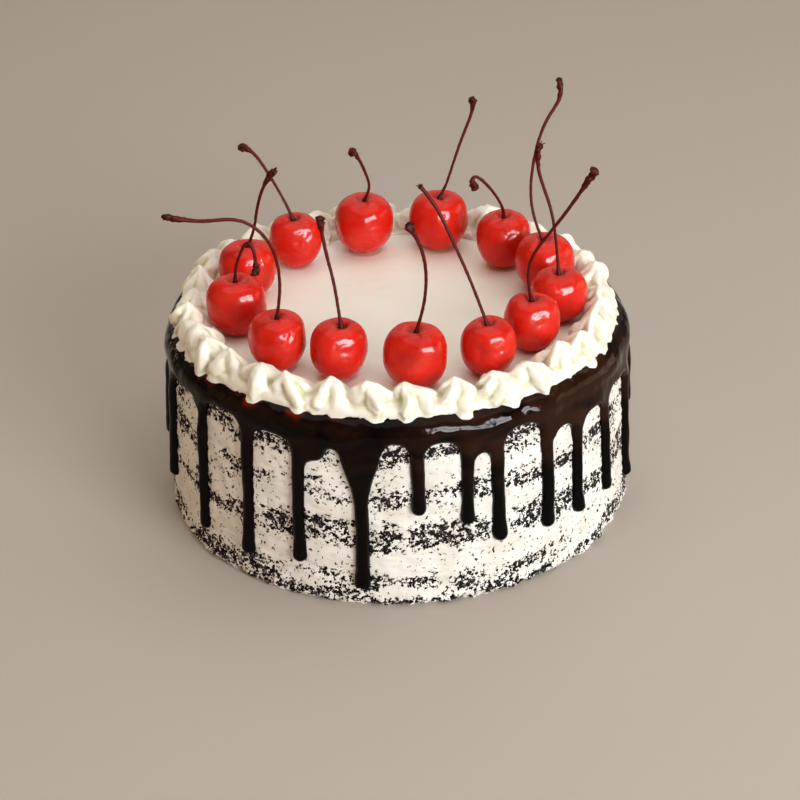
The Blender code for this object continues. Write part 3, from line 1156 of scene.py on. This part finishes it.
class Outline:
    """A grid cut along the line where a value is 0, with corners added on the line."""

    def __init__(self, inset: Array, angle: Array, run: Array) -> None:
        """Cuts the grid.

        Args:
            inset: The value at each grid point, kept where it is above 0.
            angle: The angle of each grid point. The columns close into a ring.
            run: The distance along the section of each grid point.
        """
        self.inset, self.angle, self.run = inset, angle, run
        rows, columns = inset.shape
        self.kept = inset > 0
        number = np.full(inset.shape, -1)
        number[self.kept] = np.arange(self.kept.sum())
        self.edge_start = int(self.kept.sum())
        across = self.kept != np.roll(self.kept, -1, 1)
        along = self.kept[:-1] != self.kept[1:]
        self.across, self.along = across, along
        across_number = np.full(inset.shape, -1)
        across_number[across] = self.edge_start + np.arange(across.sum())
        along_number = np.full(along.shape, -1)
        along_number[along] = self.edge_start + across.sum() + np.arange(along.sum())
        after = np.roll(np.arange(columns), -1)
        corners = np.stack([number[:-1], number[1:], number[1:][:, after], number[:-1][:, after]], -1)
        sides = np.stack([along_number, across_number[1:], along_number[:, after], across_number[:-1]], -1)
        self.triangles = self.cut(np.concatenate([corners, sides], -1).reshape(-1, 8))

    def cut(self, cells: Array) -> Array:
        """Triangles for each cell, by which of its corners are kept.

        Args:
            cells: The numbers of each cell's four corners and four sides, or -1.

        Returns:
            The triangles.
        """
        inside = cells[:, :4] >= 0
        kind = inside @ np.array([1, 2, 4, 8])
        found = []
        for case in range(1, 16):
            walk = []
            for corner in range(4):
                here, after = case >> corner & 1, case >> (corner + 1) % 4 & 1
                if here:
                    walk.append(corner)
                if here != after:
                    walk.append(4 + corner)
            chosen = cells[kind == case]
            found += [chosen[:, [walk[0], walk[i], walk[i + 1]]] for i in range(1, len(walk) - 1)]
        return np.concatenate(found)

    def spots(self, edge: float, mean_radius: float) -> tuple[Array, Array, Array]:
        """The place of each point, with those near the line drawn evenly over a round edge.

        Args:
            edge: How far in the round edge reaches.
            mean_radius: The radius at which angles become lengths.

        Returns:
            The angle, the distance along the section, and the depth inside the line.
        """
        step = (self.angle[0, 1] - self.angle[0, 0]) * mean_radius
        pitch = self.run[2, 0] - self.run[1, 0]
        slope_across = (np.roll(self.inset, -1, 1) - np.roll(self.inset, 1, 1)) / (2 * step)
        slope_along = np.gradient(self.inset, axis=0) / pitch
        steep = np.maximum(np.hypot(slope_across, slope_along), 0.35)
        deep = self.inset / steep
        share = np.clip(deep / edge, 0, 1)
        shift = edge * (share - 1 + np.cos(share * math.pi / 2)) * (deep < edge)
        moved_angle = self.angle - shift * slope_across / steep / mean_radius
        moved_run = self.run - shift * slope_along / steep
        parts = [(moved_angle[self.kept], moved_run[self.kept], deep[self.kept])]
        after = np.roll(self.inset, -1, 1)
        share = (self.inset / (self.inset - after))[self.across]
        parts.append((self.angle[self.across] + share * step / mean_radius, self.run[self.across], 0 * share))
        share = (self.inset[:-1] / (self.inset[:-1] - self.inset[1:]))[self.along]
        low, high = self.run[:-1][self.along], self.run[1:][self.along]
        parts.append((self.angle[:-1][self.along], low + share * (high - low), 0 * share))
        angle, run, depth = (np.concatenate(part) for part in zip(*parts))
        return angle, run, depth


# ---------------------------------------------------------------- piping


@dataclass
class PipedRing:
    """A ring of cream dollops from a star tip, each one pressed into the next."""

    shape: CakeShape
    feet: list[tuple[Vector, float]]  # the place and foot radius of each cherry
    count: int = 34
    ridge_radius: float = 63.8 * MM
    foot_radius: float = 7.5 * MM
    height: float = 9.4 * MM
    flutes: int = 5
    groove: float = 0.66  # how deep the grooves are, as a share of the radius
    reach: float = 70.2 * MM  # the tails end just beyond this radius
    lean: float = 1.8 * MM  # how far each tip is dragged towards the dollop before
    columns: int = 120
    rows: int = 44
    grain: float = 0.42 * MM  # how finely the dollops are fused
    seed: int = 8

    def flute(self, rng: np.random.Generator, turn: Array, up: Array) -> tuple[Array, Array]:
        """The outline that the star tip leaves: leaf-edged ridges of uneven width, with sharp creases.

        Args:
            rng: Where the unevenness is drawn from.
            turn: Angles round the dollop.
            up: Shares of its height.

        Returns:
            The radius as a share of the full one, and the ridge, 1 on a ridge and 0 in a crease.
        """
        start, first, second = rng.uniform(0, TURN, 3)
        twist = rng.normal(0.5, 0.45) * up**1.3
        phase = turn + start - twist
        phase = phase + 0.24 * np.sin(turn + first) + 0.10 * np.sin(2 * turn + second)
        wave = phase * self.flutes / TURN
        number = np.floor(wave + 0.5).astype(int)
        leaf = 1 - 2 * np.abs(wave - number)
        ridge = 0.45 * np.sin(0.5 * math.pi * leaf) ** 0.62 + 0.55 * leaf
        number = number % self.flutes
        uneven = 1 + rng.uniform(-0.20, 0.14, self.flutes)[number] * ridge
        deep = 0.62 + 0.38 * np.sin(math.pi * up**0.8)
        depth = self.groove * rng.uniform(0.6, 1.1, self.flutes)[number] * deep
        return (1 - depth * (1 - ridge)) * uneven, ridge

    def dollop(self, rng: np.random.Generator, noise: Noise, angle: float) -> Skin:
        """One dollop: a fluted mound with a blunt tip, and tails where the tip was pulled away.

        Args:
            rng: Where its unevenness is drawn from.
            noise: Its softer lumps.
            angle: Its place round the ring.

        Returns:
            A closed skin.
        """
        up = np.linspace(0, 1, self.rows)[:, None]
        turn = np.arange(self.columns)[None, :] * TURN / self.columns
        share, ridge = self.flute(rng, turn, up)
        size = rng.uniform(0.92, 1.08)
        tall = self.height * rng.uniform(0.82, 1.06)
        blunt = rng.uniform(2.2, 3.4)
        girth = (1 - up**blunt) ** 0.66 * (1 - 0.10 * np.sin(math.pi * np.clip(up / 0.3, 0, 1)))
        outer_side = 1 + np.cos(turn - rng.uniform(-0.6, 0.6))
        skirt = rng.uniform(0.06, 0.30) * np.exp(-up / 0.055) * ridge**1.3 * outer_side
        radius = self.foot_radius * size * girth * share * (1 + 0.5 * skirt)
        drag = up**1.6
        outward = radius * np.cos(turn) + drag * rng.normal(0.2 * MM, 1.0 * MM)
        along = radius * np.sin(turn) * 1.10 - drag * rng.normal(self.lean, 1.1 * MM)
        peak = rng.uniform(0.1, 1.0) * MM * np.exp(-((radius / (1.1 * MM)) ** 2)) * up
        z = tall * (up - 0.10 * (1 - ridge) * np.sin(math.pi * up)) + peak
        middle = self.ridge_radius + rng.normal(0, 0.5 * MM) + outward
        x = middle * math.cos(angle) - along * math.sin(angle)
        y = middle * math.sin(angle) + along * math.cos(angle)
        rings = np.stack([x, y, z], -1)
        for amount, lump in ((0.8 * MM, 6.0 * MM), (0.32 * MM, 2.2 * MM)):
            shifts = [noise.at(rings + offset, lump) for offset in (0, 0.2, 0.4)]
            rings = rings + amount * np.stack(shifts, -1)
        return closed_skin(rings)

    def bed(self, noise: Noise) -> Skin:
        """The low band of cream in which the dollops' feet run together.

        Args:
            noise: Its lumps.

        Returns:
            A closed skin.
        """
        turn = np.arange(self.columns)[None, :] * TURN / self.columns
        angle = np.arange(10 * self.count)[:, None] * TURN / (10 * self.count)
        half, tall = 0.74 * self.foot_radius, 0.40 * self.height
        out = self.ridge_radius + half * np.cos(turn)
        rings = polar(angle, out, np.maximum(0, tall * np.sin(turn)) * np.ones_like(angle))
        lumps = noise.at(rings, 3.5 * MM)[..., None] * 0.8 * MM
        rings = rings + lumps * np.array([0, 0, 1]) * (np.sin(turn) > 0)[..., None]
        return Skin(rings.reshape(-1, 3), wrapped(lattice(len(angle), self.columns), len(angle), self.columns))

    def settled(self, points: Array) -> Array:
        """Lowers points onto the cake: over the ganache's flange and down its shoulder."""
        points = points.copy()
        out = np.hypot(points[..., 0], points[..., 1])
        kept = np.minimum(out, self.reach + 1.2 * MM * np.tanh((out - self.reach) / (1.2 * MM)))
        points[..., :2] *= (kept / out)[..., None]
        out = kept
        edge = self.shape.wall(self.shape.top) - 2.6 * MM
        rest = self.shape.top - 0.4 * MM + 1.6 * MM * smooth_step(out, 60.5 * MM, 65 * MM)
        fade = 1 - smooth_step(points[..., 2], 0, self.height)
        settled = points.copy()
        settled[..., 2] = rest + np.maximum(points[..., 2], 0) - fade * 0.8 * np.maximum(0, out - edge)
        return settled

    def fused(self, skin: Skin) -> tuple[Array, Array]:
        """Fuses overlapping skins into one closed surface.

        Args:
            skin: The skins, laid together.

        Returns:
            The new points and triangles.
        """
        raw = skin.piece("raw_dollops", bpy.data.materials.new("raw"))
        raw.modifiers.new("fuse", "REMESH").voxel_size = self.grain
        graph = bpy.context.evaluated_depsgraph_get()
        mesh = bpy.data.meshes.new_from_object(raw.evaluated_get(graph))
        mesh.calc_loop_triangles()
        points = np.empty(3 * len(mesh.vertices), np.float32)
        mesh.vertices.foreach_get("co", points)
        triangles = np.empty(3 * len(mesh.loop_triangles), np.int32)
        mesh.loop_triangles.foreach_get("vertices", triangles)
        raw_mesh, raw_material = raw.data, raw.data.materials[0]
        bpy.data.objects.remove(raw)
        bpy.data.meshes.remove(raw_mesh)
        bpy.data.meshes.remove(mesh)
        bpy.data.materials.remove(raw_material)
        return points.reshape(-1, 3).astype(float), triangles.reshape(-1, 3)

    def stains(self, points: Array, triangles: Array) -> dict[str, Array]:
        """Where the cream lies in a crease, which gets painted shade, and where cherry juice has touched it.

        Args:
            points: The ring's points.
            triangles: Its triangles.

        Returns:
            The values "fold_shade" and "juice".
        """
        # how deep in a crease each point lies, for the painted shade there
        fold_shade = hollows(points, triangles, 20) / (0.16 * MM)
        juice = np.zeros(len(points))
        for place, foot in self.feet:
            away = np.hypot(points[:, 0] - place.x, points[:, 1] - place.y) - foot * 1.6
            juice = np.maximum(juice, 1 - smooth_step(away, 0.6 * MM, 3.6 * MM))
        return {"fold_shade": np.clip(fold_shade, 0, 1), "juice": juice}

    def build(self) -> bpy.types.Object:
        """Makes the ring.

        Returns:
            The piece, which replaces the piping's node.
        """
        rng, noise = np.random.default_rng(self.seed), Noise(self.seed)
        step = TURN / self.count
        places = [step * (number + rng.uniform(-0.13, 0.13)) for number in range(self.count)]
        skin = joined([self.bed(noise), *(self.dollop(rng, noise, place) for place in places)])
        points, triangles = self.fused(Skin(self.settled(skin.points), skin.triangles))
        skin = Skin(points, triangles, self.stains(points, triangles))
        piece = skin.piece("piped_dollops", PipingFinish().material())
        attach(piece, BODY)
        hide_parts("piping_ring")
        return piece


# ---------------------------------------------------------------- cherries


class StemEnd(Enum):
    """The kinds of end that a stem has."""

    KNOB = "knob"
    LONG = "long"
    SLIM = "slim"
    BROAD = "broad"
    FORKED = "forked"


@dataclass(frozen=True)
class EndShape:
    """How a stem's end swells, and the torn spikes on it."""

    length: float
    swell: float
    spikes: int = 0
    spike: float = 0.0
    spread: float = 0.0  # how far the spikes turn away from the stem


STEM_ENDS = {
    StemEnd.KNOB: EndShape(4.4 * MM, 0.85 * MM),
    StemEnd.LONG: EndShape(7.5 * MM, 0.45 * MM, 1, 1.2 * MM, 0.3),
    StemEnd.SLIM: EndShape(1.6 * MM, 0.30 * MM, 3, 1.5 * MM, 0.9),
    StemEnd.BROAD: EndShape(7.5 * MM, 0.70 * MM, 2, 1.0 * MM, 0.5),
    StemEnd.FORKED: EndShape(6.5 * MM, 0.62 * MM, 3, 2.2 * MM, 0.5),
}


def tube(line: Array, tangent: Array, radius: Array, sides: int) -> Array:
    """Rings of points round a line.

    Args:
        line: The points of the line.
        tangent: Its direction at each point.
        radius: Its radius at each point.
        sides: How many points a ring has.

    Returns:
        The rings, shaped (points, sides, 3).
    """
    turn = np.arange(sides)[:, None] * TURN / sides
    side = np.array([0.35, -0.9, 0.1])
    rings = []
    for point, ahead, size in zip(line, tangent, radius):
        side = side - ahead * (side @ ahead)
        side /= np.linalg.norm(side)
        rings.append(point + size * (np.cos(turn) * side + np.sin(turn) * np.cross(ahead, side)))
    return np.array(rings)


@dataclass(frozen=True)
class Stem:
    """A stem's route from the dimple to its end, in millimetres, and its kind of end."""

    route: tuple[Colour, ...]
    end: StemEnd = StemEnd.KNOB


STEMS = (
    Stem(((0, 0, 0), (2, -1, 13), (0, -2, 26), (-8, -3.5, 34.5), (-19, -5, 34.4), (-30, -6, 37)), StemEnd.LONG),
    Stem(((1.0, 0, 0), (-0.6, 2.4, 13.8), (-2.8, 4.1, 23.2), (-4.2, 6, 33.6))),
    Stem(((0, 0, 0), (2.6, -1, 9.7), (3.4, -2, 20), (2, -3, 29), (-1.8, -4, 36.8))),
    Stem(((0, 0, 0), (-5, 2.5, 13.9), (-9.5, 4.4, 24.5), (-14.5, 6.5, 35.5), (-19.5, 8, 42)), StemEnd.SLIM),
    Stem(((0, 0, 0), (-1.6, -1, 9.5), (0, -2, 17), (4.5, -3, 24), (10.5, -4.3, 33.3), (17, -6, 45)), StemEnd.BROAD),
    Stem(((0, 0, 0), (-0.8, 1.4, 9.9), (-2.5, 3, 21.5), (-6.8, 4.8, 33.6), (-6.3, 6, 41.5)), StemEnd.FORKED),
    Stem(((0, 0, 0), (-3.2, 1.5, 7.5), (-4.7, 4, 19), (-1, 8, 36), (5, 10.5, 44.5), (4.2, 12, 51)), StemEnd.LONG),
    Stem(((0, 0, 0), (-0.5, -0.8, 5), (-4.5, -2.2, 12), (-9, -3.1, 16.8), (-10.6, -3.5, 15.5), (-9.5, -4, 12))),
    Stem(((0, 0, 0), (2.6, 0.9, 5), (4, 1.6, 9), (8, 3.5, 20.5), (11.6, 5.2, 29), (11.6, 6, 34))),
    Stem(((0, 0, 0), (2.2, -1.2, 5.3), (1.8, -2.2, 10), (-1.3, -4.2, 18.6), (-4, -5, 21))),
    Stem(((0, 0, 0), (-3, 1.5, 7), (-7.5, 3.2, 15.5), (-12.5, 5, 23), (-17.3, 6, 25))),
    Stem(((0, 0, 0), (3, -1.2, 7.7), (4.2, -2.3, 14.5), (6.8, -3.7, 23), (11, -5, 29.3)), StemEnd.FORKED),
    Stem(((0, 0, 0), (0.6, -0.6, 6), (3, -1.3, 12.3), (5.3, -1.6, 14.8), (6.9, -2.2, 10.5), (6.6, -3, 4))),
)


@dataclass
class Cherry:
    """A glazed cherry with its stem, as large as its node's box."""

    number: int
    stem: Stem
    columns: int = 96
    rows: int = 62
    dimple_depth: float = 0.60 * MM
    dimple_radius: float = 3.5 * MM
    pit_depth: float = 2.0 * MM  # the small pit in the dimple that the stem grows from
    pit_radius: float = 1.65 * MM
    stem_start: float = 2.6 * MM  # how far below the cherry's top the stem begins
    stem_root: float = 0.9 * MM  # how much deeper its root goes
    stem_radius: float = 0.49 * MM
    smoothing: int = 120
    sink: float = 0.3 * MM
    squat: float = 0.97  # its height as a share of its node's
    squareness: float = 0.22  # how flat its top is
    lit_side: tuple[float, float, float] = (0.40, -0.85, 0.30)  # where most skins have wrinkled

    def __post_init__(self) -> None:
        """Reads the cherry's place and size."""
        low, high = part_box(f"cherry_{self.number:02d}")
        self.foot = Vector(((low.x + high.x) / 2, (low.y + high.y) / 2, low.z))
        self.width = (high.x - low.x + high.y - low.y) / 2
        self.full_height = high.z - low.z
        self.height = self.squat * self.full_height
        self.rng = np.random.default_rng(100 + self.number)

    @property
    def foot_radius(self) -> float:
        """The radius of the flat spot that it stands on."""
        return 0.30 * self.width

    def body(self) -> Skin:
        """The fruit: broad shoulders, a dimple, a faint seam, and soft dents with wrinkles.

        Returns:
            A closed skin with the values "pale" (painted reflected light low down, and paler wrinkled patches), "deep"
            (painted shade in the pit) and "wrinkled".
        """
        tilt = np.linspace(-math.pi / 2, math.pi / 2, self.rows + 2)[1:-1, None]
        turn = np.arange(self.columns)[None, :] * TURN / self.columns
        rise = np.sin(tilt)
        rise = np.where(rise > 0, np.abs(rise) ** 0.82, rise)
        up = 0.5 + 0.5 * rise
        square = self.squareness * smooth_step(up, 0.35, 0.75)
        taper = 1 - self.rng.uniform(0.0, 0.07) * (1 - smooth_step(up, 0.05, 0.6))
        girth = 0.5 * self.width * np.cos(tilt) ** (0.80 - square) * taper
        seam = self.rng.uniform(0, TURN)
        crease = np.exp(-(((turn - seam + math.pi) % TURN - math.pi) / 0.10) ** 2)
        lumpy = 1 + 0.022 * np.cos(2 * turn + seam) + 0.014 * np.cos(3 * turn + 2.0 * seam)
        radius = girth * lumpy * (1 - 0.025 * crease * np.cos(tilt))
        z = self.height * up + self.sink * (up - 1)
        points = polar(turn, radius, z * np.ones_like(turn))
        points, wrinkled = self.dented(points)
        off = np.array(self.stem.route[0]) * MM
        away = np.hypot(points[..., 0] - off[0], points[..., 1] - off[1])
        top = smooth_step(up, 0.6, 0.8)
        hollow = self.dimple_depth * np.exp(-((away / self.dimple_radius) ** 2))
        hollow = hollow + self.pit_depth * np.exp(-((away / self.pit_radius) ** 3))
        points[..., 2] -= top * hollow
        # painted reflected light from the cream: paler towards the bottom, and paler where wrinkled
        rim = smooth_step(up, 0.0, 0.22)
        values = {
            "pale": 0.5 * (1 - rim) + 0.30 * wrinkled,
            # painted shade in the pit round the stem
            "deep": top * np.exp(-((away / (1.35 * self.pit_radius)) ** 3)),
            "wrinkled": wrinkled,
        }
        return closed_skin(points + np.array(self.foot), values)

    def dented(self, points: Array) -> tuple[Array, Array]:
        """Presses soft dents into the fruit and wrinkles the skin in them.

        Args:
            points: The fruit's points about its foot.

        Returns:
            The new points, and how wrinkled each is.
        """
        middle = np.array([0, 0, self.height / 2])
        out = points - middle
        length = np.linalg.norm(out, axis=-1, keepdims=True)
        out = out / length
        noise = Noise(200 + self.number)
        wrinkled = np.zeros(points.shape[:-1])
        press = np.zeros(points.shape[:-1])
        for number in range(self.rng.integers(4, 7)):
            aim = self.rng.normal(size=3) * (1, 1, 0.45)
            if number == 0:
                aim = aim * 0.22 + self.lit_side
            aim = aim / np.linalg.norm(aim)
            spread = self.rng.uniform(0.20, 0.44)
            near = np.exp(-((np.arccos(np.clip(out @ aim, -1, 1)) / spread) ** 2))
            press += self.rng.uniform(0.10, 0.60) * MM * near
            wrinkled = np.maximum(wrinkled, near * self.rng.uniform(0.6 if number == 0 else 0.1, 1.0))
        folds = noise.at(points, 2.1 * MM) * 0.46 * MM + noise.at(points + 0.1, 1.1 * MM) * 0.20 * MM
        gentle = noise.at(points + 0.3, 6.5 * MM) * 0.30 * MM
        lift = gentle + folds * wrinkled**1.5 - press
        return points + out * lift[..., None], wrinkled

    def build(self, fruit: bpy.types.Material, wood: bpy.types.Material) -> list[bpy.types.Object]:
        """Makes the cherry and its stem.

        Args:
            fruit: The cherry's finish.
            wood: The stem's finish.

        Returns:
            Both pieces.
        """
        body = self.body().piece(f"cherry_{self.number:02d}_glazed", fruit)
        stem = self.stem_skin().piece(f"stem_{self.number:02d}_dried", wood)
        for piece, kind in ((body, "cherry"), (stem, "stem")):
            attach(piece, BODY)
            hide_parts(f"{kind}_{self.number:02d}")
        return [body, stem]

    def stem_line(self, count: int) -> Array:
        """A smooth line through the stem's route.

        Args:
            count: How many points it has.

        Returns:
            The points, evenly spaced.
        """
        start = self.foot + Vector((0, 0, self.full_height - self.stem_start))
        knots = np.array(self.stem.route) * MM + np.array(start)
        knots = np.concatenate([[knots[0] - (0, 0, self.stem_root)], knots])
        knots = np.concatenate([[2 * knots[0] - knots[1]], knots, [2 * knots[-1] - knots[-2]]])
        share = np.linspace(0, 1, 24, endpoint=False)[:, None]
        line = []
        for before, here, after, last in zip(knots, knots[1:], knots[2:], knots[3:]):
            bend = (2 * before - 5 * here + 4 * after - last) * share**2
            swing = (3 * here - before - 3 * after + last) * share**3
            line.append(here + 0.5 * ((after - before) * share + bend + swing))
        line = np.concatenate([*line, knots[-2:-1]])
        for _ in range(self.smoothing):
            line[1:-1] = 0.5 * line[1:-1] + 0.25 * (line[:-2] + line[2:])
        run = np.concatenate([[0], np.cumsum(np.linalg.norm(np.diff(line, axis=0), axis=1))])
        even = np.linspace(0, run[-1], count)
        return np.stack([np.interp(even, run, line[:, axis]) for axis in range(3)], -1)

    def stem_skin(self) -> Skin:
        """The stem: a flared foot, a slim run and a rough end of its kind.

        Returns:
            A closed skin with the value "dark".
        """
        line = self.stem_line(170)
        run = np.concatenate([[0], np.cumsum(np.linalg.norm(np.diff(line, axis=0), axis=1))])
        left = run[-1] - run
        kind = STEM_ENDS[self.stem.end]
        end = (1 - smooth_step(left, 0.1 * kind.length, 1.2 * kind.length)) ** 0.7
        foot = np.exp(-np.maximum(0, run - self.stem_root) / (1.3 * MM))
        radius = self.stem_radius * (1.15 - 0.2 * smooth_step(left, 0, 0.7 * run[-1])) + 0.75 * MM * foot
        radius = radius + kind.swell * end * (0.9 + 0.1 * np.sin(left / (0.45 * MM) + self.number))
        radius = radius * np.sqrt(np.clip(left / (0.8 * MM), 0.03, 1))
        tangent = np.gradient(line, axis=0)
        tangent /= np.linalg.norm(tangent, axis=1, keepdims=True)
        rings = tube(line, tangent, radius, 16)
        noise = Noise(300 + self.number)
        crust = noise.at(rings, 1.3 * MM) + 0.6 * noise.at(rings + 0.1, 0.6 * MM)
        rough = (0.06 * MM + 0.85 * kind.swell * end)[:, None] * crust
        out = rings - line[:, None]
        rings = rings + out / np.maximum(np.linalg.norm(out, axis=-1, keepdims=True), 0.1 * MM) * rough[..., None]
        dark = np.maximum(foot, 0.50 * end)[:, None] + 0.1 - 1.0 * end[:, None] * crust
        spikes = [self.spike(line[-4], tangent[-1], kind) for _ in range(kind.spikes)]
        return joined([closed_skin(rings, {"dark": np.clip(dark, 0, 1)}), *spikes])

    def spike(self, start: Array, ahead: Array, kind: "EndShape") -> Skin:
        """A small torn spike at the stem's end.

        Args:
            start: Where it grows from.
            ahead: The stem's direction there.
            kind: The shape of this kind of end.

        Returns:
            A closed skin with the value "dark".
        """
        aim = ahead + kind.spread * self.rng.normal(size=3)
        aim /= np.linalg.norm(aim)
        share = np.linspace(0, 1, 6)[:, None]
        line = start + aim * kind.spike * self.rng.uniform(0.7, 1.1) * share
        radius = 0.36 * MM * (1 - 0.75 * share[:, 0])
        rings = tube(line, np.repeat(aim[None, :], len(line), 0), radius, 8)
        return closed_skin(rings, {"dark": np.full(rings.shape[:2], 0.8)})


@dataclass
class CherryRing:
    """All the cherries, in order round the top."""

    stems: tuple[Stem, ...] = STEMS
    cherries: list[Cherry] = field(default_factory=list)

    def __post_init__(self) -> None:
        """Places a cherry for each stem."""
        self.cherries = [Cherry(number, stem) for number, stem in enumerate(self.stems, start=1)]

    @property
    def feet(self) -> list[tuple[Vector, float]]:
        """Where each cherry stands, and how wide its foot is."""
        return [(cherry.foot, cherry.foot_radius) for cherry in self.cherries]

    def build(self) -> list[bpy.types.Object]:
        """Makes every cherry and stem.

        Returns:
            The pieces.
        """
        fruit, wood = CherryFinish().material(), StemFinish().material()
        return [piece for cherry in self.cherries for piece in cherry.build(fruit, wood)]


# ---------------------------------------------------------------- studio


@dataclass(frozen=True)
class SoftBox:
    """A rectangular light that looks at the cake, in one pane or more."""

    name: str
    place: tuple[float, float, float]
    size: tuple[float, float]
    watts: float
    colour: Colour
    panes: tuple[int, int] = (1, 1)  # how many across and how many up
    bar: float = 0.04  # how far apart the panes are
    lights: bool = True  # whether it lights matt surfaces
    shines: bool = True  # whether glossy surfaces mirror it

    def build(self, target: Vector) -> None:
        """Hangs the panes side by side and turns them to a point."""
        turn = (target - Vector(self.place)).to_track_quat("-Z", "Y")
        wide = (self.size[0] + self.bar) / self.panes[0]
        tall = (self.size[1] + self.bar) / self.panes[1]
        for across in range(self.panes[0]):
            for up in range(self.panes[1]):
                name = f"{self.name}_{across}{up}"
                lamp = bpy.data.lights.new(name, "AREA")
                lamp.shape = "RECTANGLE"
                lamp.size, lamp.size_y = wide - self.bar, tall - self.bar
                lamp.energy = self.watts / math.prod(self.panes)
                lamp.color = self.colour
                shift = Vector(
                    ((across - 0.5 * (self.panes[0] - 1)) * wide, (up - 0.5 * (self.panes[1] - 1)) * tall, 0)
                )
                obj = bpy.data.objects.new(name, lamp)
                obj.location = Vector(self.place) + turn @ shift
                obj.rotation_euler = turn.to_euler()
                obj.visible_diffuse, obj.visible_glossy = self.lights, self.shines
                bpy.context.scene.collection.objects.link(obj)


@dataclass
class Studio:
    """A pale floor, soft lights and the camera."""

    boxes: tuple[SoftBox, ...] = (
        SoftBox("key_light", (0.56, -0.80, 0.36), (0.50, 0.46), 9.3, (1.0, 0.98, 0.97), shines=False),
        SoftBox("window", (0.60, -0.80, 0.42), (0.86, 0.44), 43.0, (0.97, 0.97, 1.0), (2, 2), lights=False),
        SoftBox("ceiling_light", (0.10, 0.10, 1.15), (1.5, 1.5), 9.8, (1.0, 0.96, 0.90)),
        SoftBox("side_light", (0.90, 0.15, 0.20), (0.7, 0.34), 1.6, (1.0, 0.72, 0.50)),
        SoftBox("fill_light", (-0.90, -0.45, 0.40), (1.3, 1.0), 2.3, (1.0, 0.50, 0.15)),
        SoftBox("back_light", (0.0, 1.10, 0.60), (1.9, 1.0), 2.2, (1.0, 0.93, 0.82)),
    )
    ambient: Colour = (1.0, 0.90, 0.78)
    ambient_strength: float = 0.15
    camera_place: tuple[float, float, float] = (0.515 * MM, -488.12 * MM, 307.03 * MM)
    camera_pitch: float = 29.80  # degrees below level
    camera_roll: float = -1.361
    lens: float = 77.67
    floor_side: float = 6.0

    def build(self) -> None:
        """Makes the floor, the lights, the surroundings and the camera."""
        self.lay_floor()
        for box in self.boxes:
            box.build(Vector((0, 0, 0.04)))
        world = bpy.data.worlds.new("surroundings")
        world.use_nodes = True
        shader = world.node_tree.nodes["Background"]
        shader.inputs["Color"].default_value = (*self.ambient, 1.0)
        shader.inputs["Strength"].default_value = self.ambient_strength
        bpy.context.scene.world = world
        bpy.context.scene.view_settings.view_transform = "Standard"
        self.set_camera()

    def lay_floor(self) -> None:
        """Makes the floor that the cake stands on."""
        half = self.floor_side / 2
        mesh = bpy.data.meshes.new("floor")
        corners = [(-half, -half, 0), (half, -half, 0), (half, half, 0), (-half, half, 0)]
        mesh.from_pydata(corners, [], [(0, 1, 2, 3)])
        mesh.materials.append(FloorFinish().material())
        floor = bpy.data.objects.new("floor", mesh)
        bpy.context.scene.collection.objects.link(floor)

    def set_camera(self) -> None:
        """Places the camera in front of the cake, looking down on it."""
        pitch, roll = math.radians(self.camera_pitch), math.radians(self.camera_roll)
        ahead = Vector((0, math.cos(pitch), -math.sin(pitch)))
        level = Vector((1, 0, 0))
        upright = level.cross(ahead)
        right = math.cos(roll) * level + math.sin(roll) * upright
        above = -math.sin(roll) * level + math.cos(roll) * upright
        turn = Matrix((right, above, -ahead)).transposed()
        lens = bpy.data.cameras.new("camera")
        lens.lens = self.lens
        lens.clip_start = 10 * MM
        camera = bpy.data.objects.new("camera", lens)
        camera.matrix_world = Matrix.Translation(self.camera_place) @ turn.to_4x4()
        bpy.context.scene.collection.objects.link(camera)
        bpy.context.scene.camera = camera


# ---------------------------------------------------------------- making it


def foot_points(piping: bpy.types.Object, top: float) -> Array:
    """The points of the piping that lie on the ganache, on its outer side.

    Args:
        piping: The piped ring.
        top: The height of the cake's top.

    Returns:
        Those points.
    """
    points = np.array([vertex.co for vertex in piping.data.vertices])
    outer = np.hypot(points[:, 0], points[:, 1]) > 67 * MM
    return points[outer & (points[:, 2] < top + 2.2 * MM)]


def report(name: str, pieces: object) -> None:
    """Logs what a class has made.

    Args:
        name: What it is.
        pieces: One piece or a list of them.
    """
    listed = pieces if isinstance(pieces, list) else [pieces]
    faces = sum(len(piece.data.polygons) for piece in listed)
    LOG.info("%s: %d pieces, %d triangles", name, len(listed), faces)


def main() -> None:
    """Builds the cake from the foot up, then the studio."""
    logging.basicConfig(level=logging.INFO, format="%(message)s")
    shape = CakeShape.from_frame()
    coat = Coat(shape)
    cherries = CherryRing()
    report("body", CakeBody(coat).build())
    report("crumbs", LooseCrumbs(coat).build())
    report("top", TopCream(shape, cherries.feet).build())
    piping = PipedRing(shape, cherries.feet).build()
    report("piping", piping)
    report("ganache", Ganache(shape, foot_points(piping, shape.top)).build())
    report("cherries", cherries.build())
    Studio().build()


if __name__ == "__main__":
    main()
